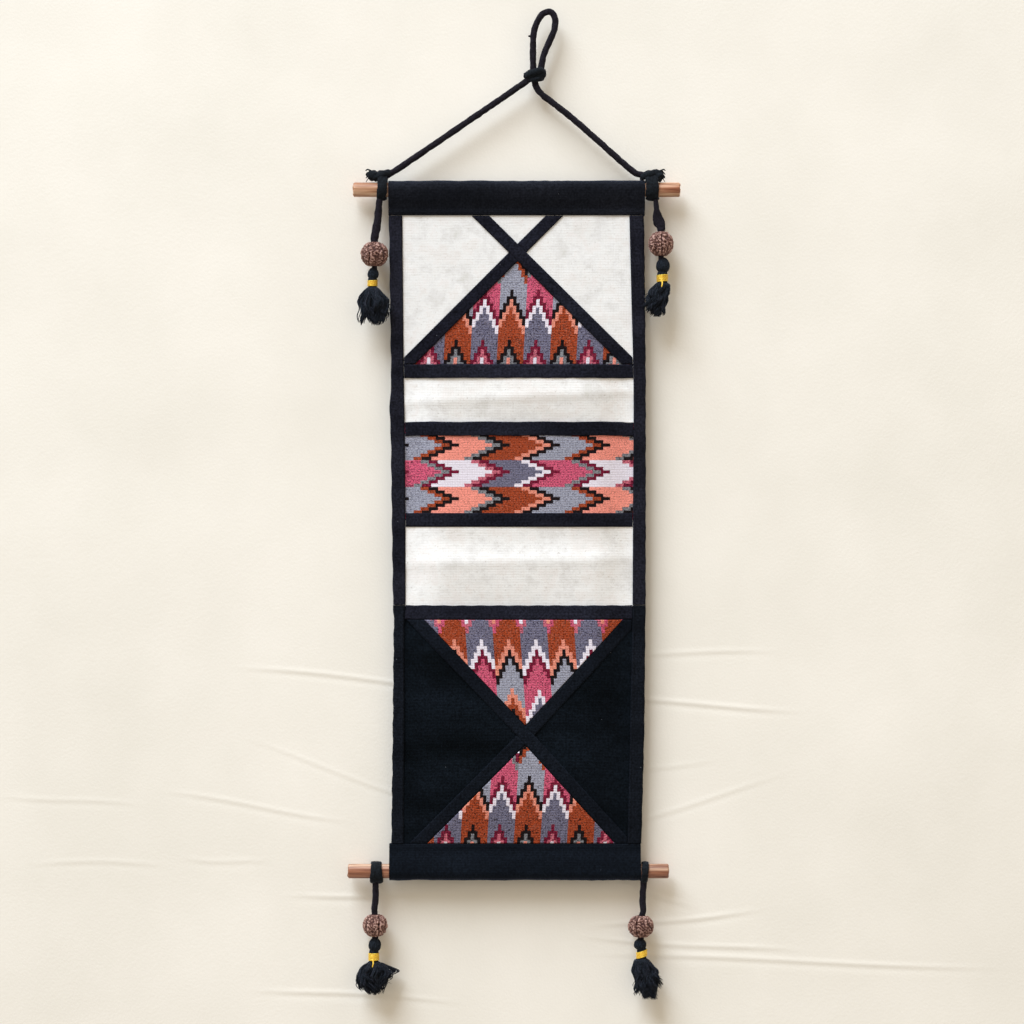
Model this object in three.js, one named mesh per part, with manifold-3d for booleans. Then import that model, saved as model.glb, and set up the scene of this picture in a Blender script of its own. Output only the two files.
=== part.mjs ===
// Pocket wall hanging: a long black cloth panel on two dowels, with cream and flame-woven bands that
// form three tiered pockets, a cord sling to hang it by, and a beaded tassel at each end of each dowel.
// Millimetres, +Z up, the front faces -Y. The origin is the inside top of the hanging loop.
import * as THREE from 'three';
import { mergeVertices } from 'three/addons/utils/BufferGeometryUtils.js';
import Module from 'manifold-3d';

const wasm = await Module();
wasm.setup();

// Driving dimensions
const PANEL_X = -26;
const CLOTH = 1.2;
const TAPE = 1;
const BACKING = 1.5;
const GAP = 0.3;
const DOWEL_RADIUS = 5.8;
const TOP_DOWEL = { length: 262, x: PANEL_X, z: -139.9 };
const BOTTOM_DOWEL = { length: 257, x: PANEL_X - 6.6, z: -686 };
const TOP_CASING = { left: -102.7, right: 102.7, dowelZ: TOP_DOWEL.z, hemZ: -160.6 };
const BOTTOM_CASING = { left: -102, right: 99.4, dowelZ: BOTTOM_DOWEL.z, hemZ: -663.8 };
const CORD_RADIUS = 2.5;
const STRIP_WIDTH = 10;
const MOUTH_TAPE = 11.2;
const FLANK_STEP = 8.5;
const TUCK_HALF_WIDTH = 70;

// Levels are distances in front of the backing's front face, which lies at y = 0
const LINING_LEVEL = { back: -BACKING, front: 0 };
const CLOTH_LEVEL = { back: GAP, front: GAP + CLOTH };
const TAPE_LEVEL = { back: CLOTH_LEVEL.front + GAP, front: CLOTH_LEVEL.front + GAP + TAPE };
const BINDING_FRONT = TAPE_LEVEL.back + CLOTH;

// Edges of the side bindings from top to bottom, measured from the panel's middle
const edgeRows = [
  { z: -160.9, leftOuter: -102.4, leftInner: -91.5, rightInner: 90.3, rightOuter: 102.1 },
  { z: -230, leftOuter: -101.4, leftInner: -90.9, rightInner: 92, rightOuter: 102.9 },
  { z: -291, leftOuter: -100.5, leftInner: -90.3, rightInner: 93.6, rightOuter: 103.5 },
  { z: -318, leftOuter: -101.9, leftInner: -89.8, rightInner: 93.7, rightOuter: 103.5 },
  { z: -337, leftOuter: -100.8, leftInner: -89.5, rightInner: 93.6, rightOuter: 103.5 },
  { z: -399, leftOuter: -100, leftInner: -89, rightInner: 93.2, rightOuter: 103.5 },
  { z: -472.6, leftOuter: -99, leftInner: -88.9, rightInner: 92.8, rightOuter: 103.4 },
  { z: -484, leftOuter: -98.4, leftInner: -89.9, rightInner: 92.7, rightOuter: 103.2 },
  { z: -570, leftOuter: -99.2, leftInner: -89.9, rightInner: 91, rightOuter: 102.4 },
  { z: -663.5, leftOuter: -100.4, leftInner: -90.6, rightInner: 88.9, rightOuter: 100 },
];

// Each pocket front stands out from the backing by `out`, full across its middle and flat at its sides
const pocketA = [
  { z: -279.9, out: 6.6 },
  { z: -291.2, out: 6.8 },
  { z: -303, out: 6.2 },
  { z: -312, out: 4.8 },
  { z: -319, out: 2.6 },
  { z: -325.7, out: 0 },
];
const pocketB = [
  { z: -326, out: 6.6 },
  { z: -337.4, out: 6.9 },
  { z: -368, out: 7.2 },
  { z: -399, out: 7 },
  { z: -410, out: 6.6 },
  { z: -424, out: 7.4 },
  { z: -437, out: 7.9 },
  { z: -447, out: 6.6 },
  { z: -456, out: 4.4 },
  { z: -465, out: 2.2 },
  { z: -472.6, out: 0 },
];
const pocketC = [
  { z: -472.9, out: 6.8 },
  { z: -484, out: 7.1 },
  { z: -530, out: 7.2 },
  { z: -580, out: 6.6 },
  { z: -615, out: 5.4 },
  { z: -640, out: 3.4 },
  { z: -656, out: 1.2 },
  { z: -663.5, out: 0 },
];

// Centrelines of the two crosses: `fall` runs down to the right, `rise` runs up to the right
const headerCross = [
  { z: -150, fall: -40, rise: 41.2 },
  { z: -190.3, fall: 0.8, rise: 0.8 },
  { z: -279.6, fall: 91.1, rise: -88.3 },
];
const lowerCross = [
  { z: -484.1, fall: -81.5, rise: 92.5 },
  { z: -576.6, fall: 7.1, rise: 7.1 },
  { z: -663.5, fall: 86, rise: -78.8 },
];

// Heights of the bands' seams
const SEAM = {
  headerTop: -154,
  mouthA: -279.9,
  footA: -325.7,
  mouthB: -326,
  bandFoot: -399,
  creamTop: -410.1,
  footB: -472.6,
  mouthC: -472.9,
  footC: -663.5,
  panelTop: -152,
  panelFoot: -672,
  tuck: 5,
  step: 0.6,
};

// Route of the hanging loop, from the knot up and back down to it
const loopRoute = [
  [-12.6, 0, -44],
  [-12.9, 0, -36],
  [-12.8, 0, -26],
  [-12.6, 0, -17],
  [-11.3, 0, -10.2],
  [-8.5, 0, -3.4],
  [-4.5, 0, 1.2],
  [0, 0, 2.8],
  [3.6, 0, 0.4],
  [5, 0, -5.4],
  [4.2, 0, -11.8],
  [1.6, 0, -18.2],
  [-1.7, 0, -25.4],
  [-4.6, 0, -33.4],
  [-6.6, 0, -43],
];
const leftLegRoute = [
  [-15, 0, -50.6],
  [-24, 0, -57],
  [-50, 0, -74.9],
  [-76, 0, -92.6],
  [-102, 0, -110.3],
  [-122, 0, -123.8],
  [-130, 0, -128.6],
];
const rightLegRoute = [
  [-11.6, 0, -51],
  [-10.4, 0, -57],
  [-6.6, 0, -62.6],
  [6, 0, -72.6],
  [19.1, 0, -83],
  [44, 0, -104.9],
  [60, 0, -119.2],
  [70, 0, -126.8],
  [77, 0, -128.4],
];
const KNOT = { x: -10.8, z: -48.1 };

// Tassels. Heights and places are each piece's middle; `lean` is how far the skirt's tips move sideways
const tassels = [
  {
    name: 'top_left', cordX: -135.9, cordTop: -149.3, y: -3, beadX: -139.8, beadZ: -191.8, beadWide: 21.2,
    beadTall: 20, headX: -140.8, headZ: -207.3, headWide: 8.6, headTall: 10, tieX: -141.4, tieZ: -215,
    tieWide: 8.4, tieTall: 5.6, lean: 3.4, leanFront: -6.4, spread: 13.4, depth: 4.6, length: 30, turn: 0.2,
  },
  {
    name: 'top_right', cordX: 85.4, cordTop: -149.3, y: -3, beadX: 89.6, beadZ: -183.5, beadWide: 19,
    beadTall: 20.4, headX: 91.2, headZ: -200.7, headWide: 10.6, headTall: 12.8, tieX: 90.6, tieZ: -211,
    tieWide: 9.4, tieTall: 6.4, lean: -6.2, leanFront: -6.4, spread: 9.6, depth: 4.6, length: 28, turn: 0.9,
  },
  {
    name: 'bottom_left', cordX: -139, cordTop: -695.6, y: -1, beadX: -139.4, beadZ: -729.4, beadWide: 19,
    beadTall: 18.4, headX: -139.6, headZ: -744.8, headWide: 9.6, headTall: 11.8, tieX: -140.4, tieZ: -754.4,
    tieWide: 8.8, tieTall: 6.8, lean: 1.6, leanFront: -2, spread: 15.6, depth: 7, length: 27, turn: 1.7,
  },
  {
    name: 'bottom_right', cordX: 75.8, cordTop: -695.6, y: -1, beadX: 73.6, beadZ: -730.2, beadWide: 19.8,
    beadTall: 18, headX: 73, headZ: -744.4, headWide: 9.6, headTall: 9.6, tieX: 74.2, tieZ: -752.4,
    tieWide: 9, tieTall: 6, lean: 10.4, leanFront: -2, spread: 9.4, depth: 6.4, length: 35, turn: 2.6,
  },
];
const STRANDS = 34;
const STRAND_RADIUS = 0.62;
const BEAD_SEGMENTS = 5;

const cloth = (color, roughness) => new THREE.MeshStandardMaterial({ color, roughness, metalness: 0 });
const blackCloth = cloth('#191b21', 0.92);
const creamCloth = cloth('#efece4', 0.95);
const flameWeave = cloth('#a3573f', 0.9);
const wood = cloth('#c79a78', 0.6);
const blackCord = cloth('#17171b', 0.9);
const seed = cloth('#6f4438', 0.7);
const goldThread = cloth('#e8b51e', 0.55);
const yarn = cloth('#131519', 0.95);

// Value of one column of a table at height z, straight between its rows and constant past its ends
function lookUp(rows, column, z) {
  const below = rows.findIndex((row) => row.z <= z);
  if (below === 0) return rows[0][column];
  if (below < 0) return rows[rows.length - 1][column];
  const upper = rows[below - 1];
  const lower = rows[below];
  return THREE.MathUtils.mapLinear(z, upper.z, lower.z, upper[column], lower[column]);
}
const edge = (column, z) => lookUp(edgeRows, column, z);

// Share of a pocket's full depth at each step in from a side binding, as straight runs between the steps
const flankShares = [0, 0.16, 0.5, 0.84, 1];

// How far a pocket front stands out at (x, z), easing from nothing at each side binding
function pocketOut(rows, x, z) {
  if (!rows) return 0;
  const fromSide = Math.min(x - edge('leftInner', z), edge('rightInner', z) - x);
  const along = THREE.MathUtils.clamp(fromSide / FLANK_STEP, 0, flankShares.length - 1);
  const step = Math.min(Math.floor(along), flankShares.length - 2);
  const share = THREE.MathUtils.lerp(flankShares[step], flankShares[step + 1], along - step);
  return lookUp(rows, 'out', z) * share;
}

// Heights from top to bottom, evenly spaced at about `pitch`, with any `extra` ones put in their place
function heights(top, bottom, pitch, extra = []) {
  const count = Math.max(1, Math.round((top - bottom) / pitch));
  const even = Array.from({ length: count + 1 }, (_, i) => top + ((bottom - top) * i) / count);
  const apart = even.filter((z) => extra.every((other) => Math.abs(z - other) > pitch / 4));
  const inside = extra.filter((z) => z <= top && z >= bottom);
  return [...new Set([top, ...apart, ...inside, bottom])].sort((a, b) => b - a);
}

// Closed solid skinned over rings of equal length, with `cap` triangles at both ends. The diagonals of a
// ring's second half mirror those of its first, so that the two faces of a sheet stay parallel
function loft(rings, cap) {
  const size = rings[0].length;
  const points = rings.flat().flat();
  const faces = [];
  for (let ring = 0; ring + 1 < rings.length; ring += 1) {
    for (let i = 0; i < size; i += 1) {
      const a = ring * size + i;
      const b = ring * size + ((i + 1) % size);
      if (i < size / 2) faces.push(a, b, a + size, b, b + size, a + size);
      else faces.push(a, b, b + size, a, b + size, a + size);
    }
  }
  const last = (rings.length - 1) * size;
  for (const [a, b, c] of cap) {
    faces.push(a, c, b, last + a, last + b, last + c);
  }
  const geometry = new THREE.BufferGeometry();
  geometry.setAttribute('position', new THREE.Float32BufferAttribute(points, 3));
  geometry.setIndex(faces);
  return outward(geometry);
}

// Turns every face round where the mesh encloses a negative volume
function outward(geometry) {
  const at = geometry.attributes.position;
  const index = geometry.index.array;
  const [a, b, c] = [new THREE.Vector3(), new THREE.Vector3(), new THREE.Vector3()];
  let volume = 0;
  for (let i = 0; i < index.length; i += 3) {
    a.fromBufferAttribute(at, index[i]);
    b.fromBufferAttribute(at, index[i + 1]);
    c.fromBufferAttribute(at, index[i + 2]);
    volume += a.dot(b.cross(c));
  }
  if (volume < 0) {
    for (let i = 0; i < index.length; i += 3) {
      [index[i + 1], index[i + 2]] = [index[i + 2], index[i + 1]];
    }
  }
  return geometry;
}

// Triangles that close a ring laid out as a front row followed by the same row backwards
function stripCap(columns) {
  const ring = 2 * (columns + 1);
  const cap = [];
  for (let i = 0; i < columns; i += 1) {
    cap.push([i, i + 1, ring - 2 - i], [i, ring - 2 - i, ring - 1 - i]);
  }
  return cap;
}

// A ring's section as triangles
const sectionCap = (section) => {
  const outline = section.map(([u, v]) => new THREE.Vector2(u, v));
  const clockwise = THREE.ShapeUtils.isClockWise(outline);
  const cap = THREE.ShapeUtils.triangulateShape(clockwise ? [...outline].reverse() : outline, []);
  const last = section.length - 1;
  return clockwise ? cap.map((face) => face.map((i) => last - i).reverse()) : cap;
};

// A piece of cloth as a sheet of rows. `stations` gives the places across each row, and the sheet lies
// between its back and front levels on the pocket front `out`
function clothPiece({ rows, stations, level, out, back = () => level.back }) {
  const rings = rows.map((z) => {
    const place = (height) => (x) => [x, -(pocketOut(out, x, z) + height), z];
    const front = stations(z).map(place(level.front));
    const rear = stations(z).map(place(back(z)));
    return [...front, ...rear.reverse()];
  });
  return loft(rings, stripCap(stations(rows[0]).length - 1));
}

// Stations between two edges, closer together towards both of them
const between = (left, right, columns) => (z) => Array.from({ length: columns + 1 }, (_, i) => {
  const share = (1 - Math.cos((Math.PI * i) / columns)) / 2;
  return THREE.MathUtils.lerp(left(z), right(z), share);
});

// Stations at every bend of a pocket front's flanks, within two outer edges
const acrossPocket = (left, right) => (z) => {
  const steps = flankShares.slice(1).map((_, i) => FLANK_STEP * (i + 1));
  return [
    left(z),
    ...steps.map((step) => edge('leftInner', z) + step),
    ...[...steps].reverse().map((step) => edge('rightInner', z) - step),
    right(z),
  ];
};

const meshes = [];
function add(name, geometry, material) {
  const mesh = new THREE.Mesh(geometry, material);
  mesh.name = name;
  meshes.push(mesh);
  return mesh;
}
const panel = new THREE.Group();
panel.position.x = PANEL_X;
function addToPanel(name, geometry, material) {
  panel.add(add(name, geometry, material));
}

// Edges of the layers that the side bindings hold
const UNDER_BINDING = CLOTH + GAP;
const heldLeft = (z) => edge('leftOuter', z) + UNDER_BINDING;
const heldRight = (z) => edge('rightOuter', z) - UNDER_BINDING;
const betweenLeft = (z) => edge('leftInner', z) + GAP;
const betweenRight = (z) => edge('rightInner', z) - GAP;

// Stations right across the panel under its bindings, with one at each binding's inner edge
const acrossPanel = (z) => {
  const inner = acrossPocket((at) => edge('leftInner', at), (at) => edge('rightInner', at))(z);
  return [heldLeft(z), ...inner, heldRight(z)];
};

// Heights for a pocket front: its table's own rows, `more` ones, and others between them where
// they are far apart
const pocketHeights = (top, foot, rows, more = []) => {
  const bends = rows.map((row) => row.z);
  return heights(top, foot, 60, [...bends, ...more]);
};

// A pocket front's cloth: full width down to its foot, then a narrower seam tucked behind the next mouth
function pocketCloth(name, top, foot, rows, material, tucked) {
  const full = tucked ? [foot + SEAM.step] : [];
  const hidden = tucked ? [foot - SEAM.tuck] : [];
  const narrow = (at) => at.map((_, i) => THREE.MathUtils.lerp(-1, 1, i / (at.length - 1)) * TUCK_HALF_WIDTH);
  addToPanel(name, clothPiece({
    rows: [...pocketHeights(top, foot, rows, full), ...hidden],
    stations: (z) => (tucked && z <= foot ? narrow(acrossPanel(z)) : acrossPanel(z)),
    level: CLOTH_LEVEL,
    out: rows,
  }), material);
}

// Tape folded over a pocket's mouth: its front leaf, and a fold that covers the cloth's top edge
function mouthTape(name, mouth, rows) {
  const foldFoot = mouth - TAPE;
  addToPanel(name, clothPiece({
    rows: [mouth, foldFoot, foldFoot - 0.1, mouth - MOUTH_TAPE],
    stations: acrossPocket(betweenLeft, betweenRight),
    level: TAPE_LEVEL,
    out: rows,
    back: (z) => (z >= foldFoot ? CLOTH_LEVEL.back : TAPE_LEVEL.back),
  }), blackCloth);
}

// Binding folded round one side edge of the panel, from `top` down to `bottom`
function sideBinding(name, side, top, bottom) {
  const inner = side < 0 ? 'leftInner' : 'rightInner';
  const outer = side < 0 ? 'leftOuter' : 'rightOuter';
  const rear = BACKING + GAP;
  const round = 0.8;
  const section = (z) => {
    const leaf = edge(inner, z);
    const rim = edge(outer, z);
    const web = rim - side * CLOTH;
    const soft = rim - side * round;
    return [
      [leaf, TAPE_LEVEL.back],
      [leaf, BINDING_FRONT],
      [soft, BINDING_FRONT],
      [rim, BINDING_FRONT - round],
      [rim, round - rear - CLOTH],
      [soft, -rear - CLOTH],
      [leaf + side, -rear - CLOTH],
      [leaf + side, -rear],
      [web, -rear],
      [web, TAPE_LEVEL.back],
    ];
  };
  const levels = heights(top, bottom, 60, edgeRows.map((row) => row.z));
  const rings = levels.map((z) => section(z).map(([x, level]) => [x, -level, z]));
  addToPanel(name, loft(rings, sectionCap(section(top))), blackCloth);
}

// Casing cloth wrapped round a dowel, its two leaves meeting on the panel. `up` is +1 where it wraps the
// dowel from above and -1 from below
function casing(name, size, up) {
  const wrap = 115;
  const arcSteps = 14;
  const inside = DOWEL_RADIUS + GAP;
  const leafZ = size.hemZ - size.dowelZ;
  const bendZ = leafZ + up * 4;
  const arc = (radius, from, to) => Array.from({ length: arcSteps + 1 }, (_, i) => {
    const angle = THREE.MathUtils.degToRad(from + ((to - from) * i) / arcSteps);
    return [radius * Math.sin(angle), up * radius * Math.cos(angle)];
  });
  const leaf = { front: -BINDING_FRONT, frontBack: -TAPE_LEVEL.back, rear: BACKING + GAP };
  const section = [
    [leaf.front, leafZ],
    [leaf.front, bendZ],
    ...arc(inside + CLOTH, -wrap, wrap),
    [leaf.rear + CLOTH, bendZ],
    [leaf.rear + CLOTH, leafZ],
    [leaf.rear, leafZ],
    [leaf.rear, bendZ],
    ...arc(inside, wrap, -wrap),
    [leaf.frontBack, bendZ],
    [leaf.frontBack, leafZ],
  ];
  const ring = (x) => section.map(([y, z]) => [x, y, size.dowelZ + z]);
  addToPanel(name, loft([ring(size.left), ring(size.right)], sectionCap(section)), blackCloth);
}

// Turned dowel with softly rounded ends, lying along X
function dowel(name, size) {
  const half = size.length / 2;
  const round = 1.6;
  const profile = [
    [0, -half],
    [DOWEL_RADIUS - round, -half],
    [DOWEL_RADIUS - 0.4, -half + round / 2],
    [DOWEL_RADIUS, -half + round],
    [DOWEL_RADIUS, half - round],
    [DOWEL_RADIUS - 0.4, half - round / 2],
    [DOWEL_RADIUS - round, half],
    [0, half],
  ];
  const geometry = new THREE.LatheGeometry(profile.map(([r, h]) => new THREE.Vector2(r, h)), 20);
  const mesh = add(name, plain(geometry), wood);
  mesh.rotation.z = -Math.PI / 2;
  mesh.position.set(size.x, 0, size.z);
}

// Geometry with its shared vertices merged and only its positions kept
function plain(geometry) {
  const bare = geometry.clone();
  bare.deleteAttribute('normal');
  bare.deleteAttribute('uv');
  return outward(mergeVertices(bare, 1e-4));
}

function toSolid(geometry) {
  const mesh = new wasm.Mesh({
    numProp: 3,
    vertProperties: Float32Array.from(geometry.attributes.position.array),
    triVerts: Uint32Array.from(geometry.index.array),
  });
  return new wasm.Manifold(mesh);
}

function toGeometry(solid) {
  const mesh = solid.getMesh();
  const geometry = new THREE.BufferGeometry();
  geometry.setAttribute('position', new THREE.BufferAttribute(mesh.vertProperties.slice(), 3));
  geometry.setIndex(new THREE.BufferAttribute(mesh.triVerts.slice(), 1));
  return geometry;
}

const ellipsoid = ([x, y, z], [width, deep, tall], turn = 0) => {
  const ball = new THREE.SphereGeometry(1, 12, 8);
  ball.rotateX(Math.PI / 2);
  ball.scale(width / 2, deep / 2, tall / 2);
  ball.rotateY(turn);
  ball.translate(x, y, z);
  return toSolid(plain(ball));
};

// Eight-sided tube along a smooth curve through the route's points
function tube(route, radius, steps) {
  const sides = 8;
  const section = new THREE.Shape(Array.from({ length: sides }, (_, i) => {
    const angle = (2 * Math.PI * (i + 0.5)) / sides;
    return new THREE.Vector2(radius * Math.cos(angle), radius * Math.sin(angle));
  }));
  const points = route.map((point) => new THREE.Vector3(...point));
  const extrudePath = new THREE.CatmullRomCurve3(points, false, 'centripetal');
  return plain(new THREE.ExtrudeGeometry(section, { steps, extrudePath, bevelEnabled: false }));
}
const socket = (route, steps) => toSolid(tube(route, CORD_RADIUS + GAP, steps));

// A route carried on past one end by `more`, for cutting the socket which that end sits in
function reachOn(route, fromStart, more) {
  const points = route.map((point) => new THREE.Vector3(...point));
  const [tip, next] = fromStart ? points : points.slice(-2).reverse();
  const beyond = tip.clone().add(tip.clone().sub(next).setLength(more));
  return fromStart ? [beyond.toArray(), ...route.slice(0, 3)] : [...route.slice(-3), beyond.toArray()];
}

// Strip of cord wound round a dowel, as one flattened ring of its turns
function windings(x, dowelZ, width, thick) {
  const inner = DOWEL_RADIUS + GAP;
  const middle = inner + thick / 2;
  const round = Array.from({ length: 9 }, (_, i) => {
    const angle = (2 * Math.PI * i) / 8;
    return new THREE.Vector2(middle + (thick / 2) * Math.cos(angle), (width / 2) * Math.sin(angle));
  });
  const ring = new THREE.LatheGeometry(round, 18);
  ring.rotateZ(-Math.PI / 2);
  ring.translate(x, 0, dowelZ);
  return toSolid(plain(ring));
}

// The panel's cloth, from the back to the front
addToPanel('back_panel', clothPiece({
  rows: heights(SEAM.panelTop, SEAM.panelFoot, 80, edgeRows.map((row) => row.z)),
  stations: between(heldLeft, heldRight, 1),
  level: LINING_LEVEL,
}), blackCloth);

// Outline of a piece given by its left and right edges, sampled closely and then kept only at its corners
function outline(top, bottom, left, right) {
  const rows = heights(top, bottom, 1.5);
  const points = [
    ...rows.map((z) => new THREE.Vector2(left(z), z)),
    ...rows.map((z) => new THREE.Vector2(right(z), z)).reverse(),
  ];
  const bend = (before, at, after) => at.clone().sub(before).cross(after.clone().sub(at));
  const kept = [];
  points.forEach((point, i) => {
    const before = kept.length ? kept[kept.length - 1] : points[points.length - 1];
    const after = points[(i + 1) % points.length];
    if (Math.abs(bend(before, point, after)) > 0.05) kept.push(point);
  });
  return kept;
}

// A piece cut along its outline from the sheet at `level`, which lies on the pocket front `out`
function cutPiece({ top, bottom, left, right, level, out }) {
  const sheet = clothPiece({
    rows: out ? pocketHeights(SEAM.mouthC - TAPE - GAP, SEAM.footC, out) : [SEAM.panelTop, SEAM.panelFoot],
    stations: out ? acrossPanel : between(heldLeft, heldRight, 1),
    level,
    out,
  });
  const blade = new THREE.ExtrudeGeometry(new THREE.Shape(outline(top, bottom, left, right)), {
    depth: 40,
    bevelEnabled: false,
  });
  blade.rotateX(Math.PI / 2);
  blade.translate(0, 20, 0);
  return toGeometry(toSolid(sheet).intersect(toSolid(plain(blade))));
}

const cross = (rows, column) => (z) => lookUp(rows, column, z);
const fall = cross(headerCross, 'fall');
const rise = cross(headerCross, 'rise');
const crossZ = headerCross[1].z;
const headerFoot = SEAM.mouthA + GAP;
const apart = 0.4;
const headerPiece = (name, top, bottom, left, right, material) => {
  addToPanel(name, cutPiece({ top, bottom, left, right, level: CLOTH_LEVEL }), material);
};
headerPiece(
  'cream_header_left', SEAM.headerTop, headerFoot,
  heldLeft, (z) => Math.min(fall(z), rise(z)) - apart, creamCloth,
);
headerPiece(
  'cream_header_top', SEAM.headerTop, crossZ + 1.2, (z) => fall(z) + apart, (z) => rise(z) - apart, creamCloth,
);
headerPiece(
  'cream_header_right', SEAM.headerTop, headerFoot,
  (z) => Math.max(fall(z), rise(z)) + apart, heldRight, creamCloth,
);
headerPiece(
  'flame_header', crossZ - 1.2, headerFoot - SEAM.tuck,
  (z) => (z <= headerFoot ? -TUCK_HALF_WIDTH : rise(z) + apart),
  (z) => (z <= headerFoot ? TUCK_HALF_WIDTH : fall(z) - apart), flameWeave,
);

// Tapes of a cross. The falling tape is whole, and the rising one is in two lengths that butt against it
function crossTapes(prefix, rows, top, bottom, out) {
  const falling = cross(rows, 'fall');
  const rising = cross(rows, 'rise');
  const reach = (STRIP_WIDTH / 2) * Math.SQRT2;
  const inLeft = (z, x) => Math.max(x, betweenLeft(z));
  const inRight = (z, x) => Math.min(x, betweenRight(z));
  const clear = reach + GAP * Math.SQRT2;
  const middle = rows[1].z;
  const least = 1;
  const piece = (name, from, to, left, right) => {
    const shape = cutPiece({ top: from, bottom: to, left, right, level: TAPE_LEVEL, out });
    addToPanel(`${prefix}_${name}`, shape, blackCloth);
  };
  piece(
    'tape_falling', top, bottom,
    (z) => inLeft(z, falling(z) - reach), (z) => inRight(z, falling(z) + reach),
  );
  piece(
    'tape_rising_upper', top, middle + least,
    (z) => inLeft(z, Math.max(rising(z) - reach, falling(z) + clear)), (z) => inRight(z, rising(z) + reach),
  );
  piece(
    'tape_rising_lower', middle - least, bottom,
    (z) => inLeft(z, rising(z) - reach), (z) => inRight(z, Math.min(rising(z) + reach, falling(z) - clear)),
  );
}
crossTapes('header', headerCross, TOP_CASING.hemZ - GAP, headerFoot, null);

pocketCloth('cream_pocket_a', SEAM.mouthA - TAPE - GAP, SEAM.footA, pocketA, creamCloth, true);
mouthTape('mouth_tape_a', SEAM.mouthA, pocketA);

const bandSeam = (SEAM.bandFoot + SEAM.creamTop) / 2;
const bandRows = pocketB.filter((row) => row.z > bandSeam);
addToPanel('flame_band', clothPiece({
  rows: heights(SEAM.mouthB - TAPE - GAP, bandSeam + GAP / 2, 60, bandRows.map((row) => row.z)),
  stations: acrossPanel,
  level: CLOTH_LEVEL,
  out: pocketB,
}), flameWeave);
pocketCloth('cream_pocket_b', bandSeam - GAP / 2, SEAM.footB, pocketB, creamCloth, true);
mouthTape('mouth_tape_b', SEAM.mouthB, pocketB);
addToPanel('band_tape', clothPiece({
  rows: [SEAM.bandFoot, SEAM.creamTop],
  stations: acrossPocket(betweenLeft, betweenRight),
  level: TAPE_LEVEL,
  out: pocketB,
}), blackCloth);

pocketCloth('black_pocket_c', SEAM.mouthC - TAPE - GAP, SEAM.footC, pocketC, blackCloth, false);
mouthTape('mouth_tape_c', SEAM.mouthC, pocketC);
const lowerTop = SEAM.mouthC - MOUTH_TAPE - GAP;
const lowerFoot = BOTTOM_CASING.hemZ + GAP;
crossTapes('lower', lowerCross, lowerTop, lowerFoot, pocketC);

// Flame-woven triangles between the lower cross's tapes
const lowerFall = cross(lowerCross, 'fall');
const lowerRise = cross(lowerCross, 'rise');
const tapeReach = (STRIP_WIDTH / 2) * Math.SQRT2 + GAP * Math.SQRT2;
const tip = tapeReach + 0.8;
addToPanel('flame_lower_top', cutPiece({
  top: lowerTop,
  bottom: lowerCross[1].z + tip,
  left: (z) => lowerFall(z) + tapeReach,
  right: (z) => lowerRise(z) - tapeReach,
  level: TAPE_LEVEL,
  out: pocketC,
}), flameWeave);
addToPanel('flame_lower_bottom', cutPiece({
  top: lowerCross[1].z - tip,
  bottom: lowerFoot,
  left: (z) => lowerRise(z) + tapeReach,
  right: (z) => lowerFall(z) - tapeReach,
  level: TAPE_LEVEL,
  out: pocketC,
}), flameWeave);

sideBinding('side_binding_left_upper', -1, TOP_CASING.hemZ - GAP, SEAM.footB);
sideBinding('side_binding_left_lower', -1, SEAM.mouthC, SEAM.footC);
sideBinding('side_binding_right_upper', 1, TOP_CASING.hemZ - GAP, SEAM.footB);
sideBinding('side_binding_right_lower', 1, SEAM.mouthC, SEAM.footC);
casing('casing_top', TOP_CASING, 1);
casing('casing_bottom', BOTTOM_CASING, -1);
dowel('dowel_top', TOP_DOWEL);
dowel('dowel_bottom', BOTTOM_DOWEL);

// The sling: two legs and a loop that meet in one knot
add('sling_loop', tube(loopRoute, CORD_RADIUS, 32), blackCord);
add('sling_leg_left', tube(leftLegRoute, CORD_RADIUS, 14), blackCord);
add('sling_leg_right', tube(rightLegRoute, CORD_RADIUS, 16), blackCord);
const knot = ellipsoid([KNOT.x - 2.4, 0, KNOT.z - 0.6], [13.6, 11, 10.6], 0.35)
  .add(ellipsoid([KNOT.x + 3, 0, KNOT.z + 0.4], [13, 10.4, 9.8], -0.3))
  .subtract(socket(reachOn(loopRoute, true, 1), 3))
  .subtract(socket(reachOn(loopRoute, false, 1), 3))
  .subtract(socket(reachOn(leftLegRoute, true, 1), 3))
  .subtract(socket(reachOn(rightLegRoute, true, 1), 4));
add('sling_knot', toGeometry(knot), blackCord);

// Hitches that tie the sling's legs to the top dowel, each with a knot and a short end
const hitches = [
  { name: 'hitch_left', x: -133.9, width: 6.8, knotX: -133.6, endX: -141, endTall: 8.8, leg: leftLegRoute },
  { name: 'hitch_right', x: 82.4, width: 10, knotX: 80, endX: 87.2, endTall: 10, leg: rightLegRoute },
];
const TURN_THICK = 2.9;
for (const hitch of hitches) {
  const knotZ = TOP_DOWEL.z + 11.5;
  const solid = windings(hitch.x, TOP_DOWEL.z, hitch.width, TURN_THICK)
    .add(ellipsoid([hitch.knotX, 0, knotZ], [10.4, 9.4, 8.6]))
    .add(ellipsoid([hitch.endX, -1, knotZ - 0.2], [11, 8.6, hitch.endTall], 0.1))
    .subtract(socket(reachOn(hitch.leg, false, 1), 3))
    .subtract(toSolid(plain(dowelClearance())));
  add(hitch.name, toGeometry(solid), blackCord);
}

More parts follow.
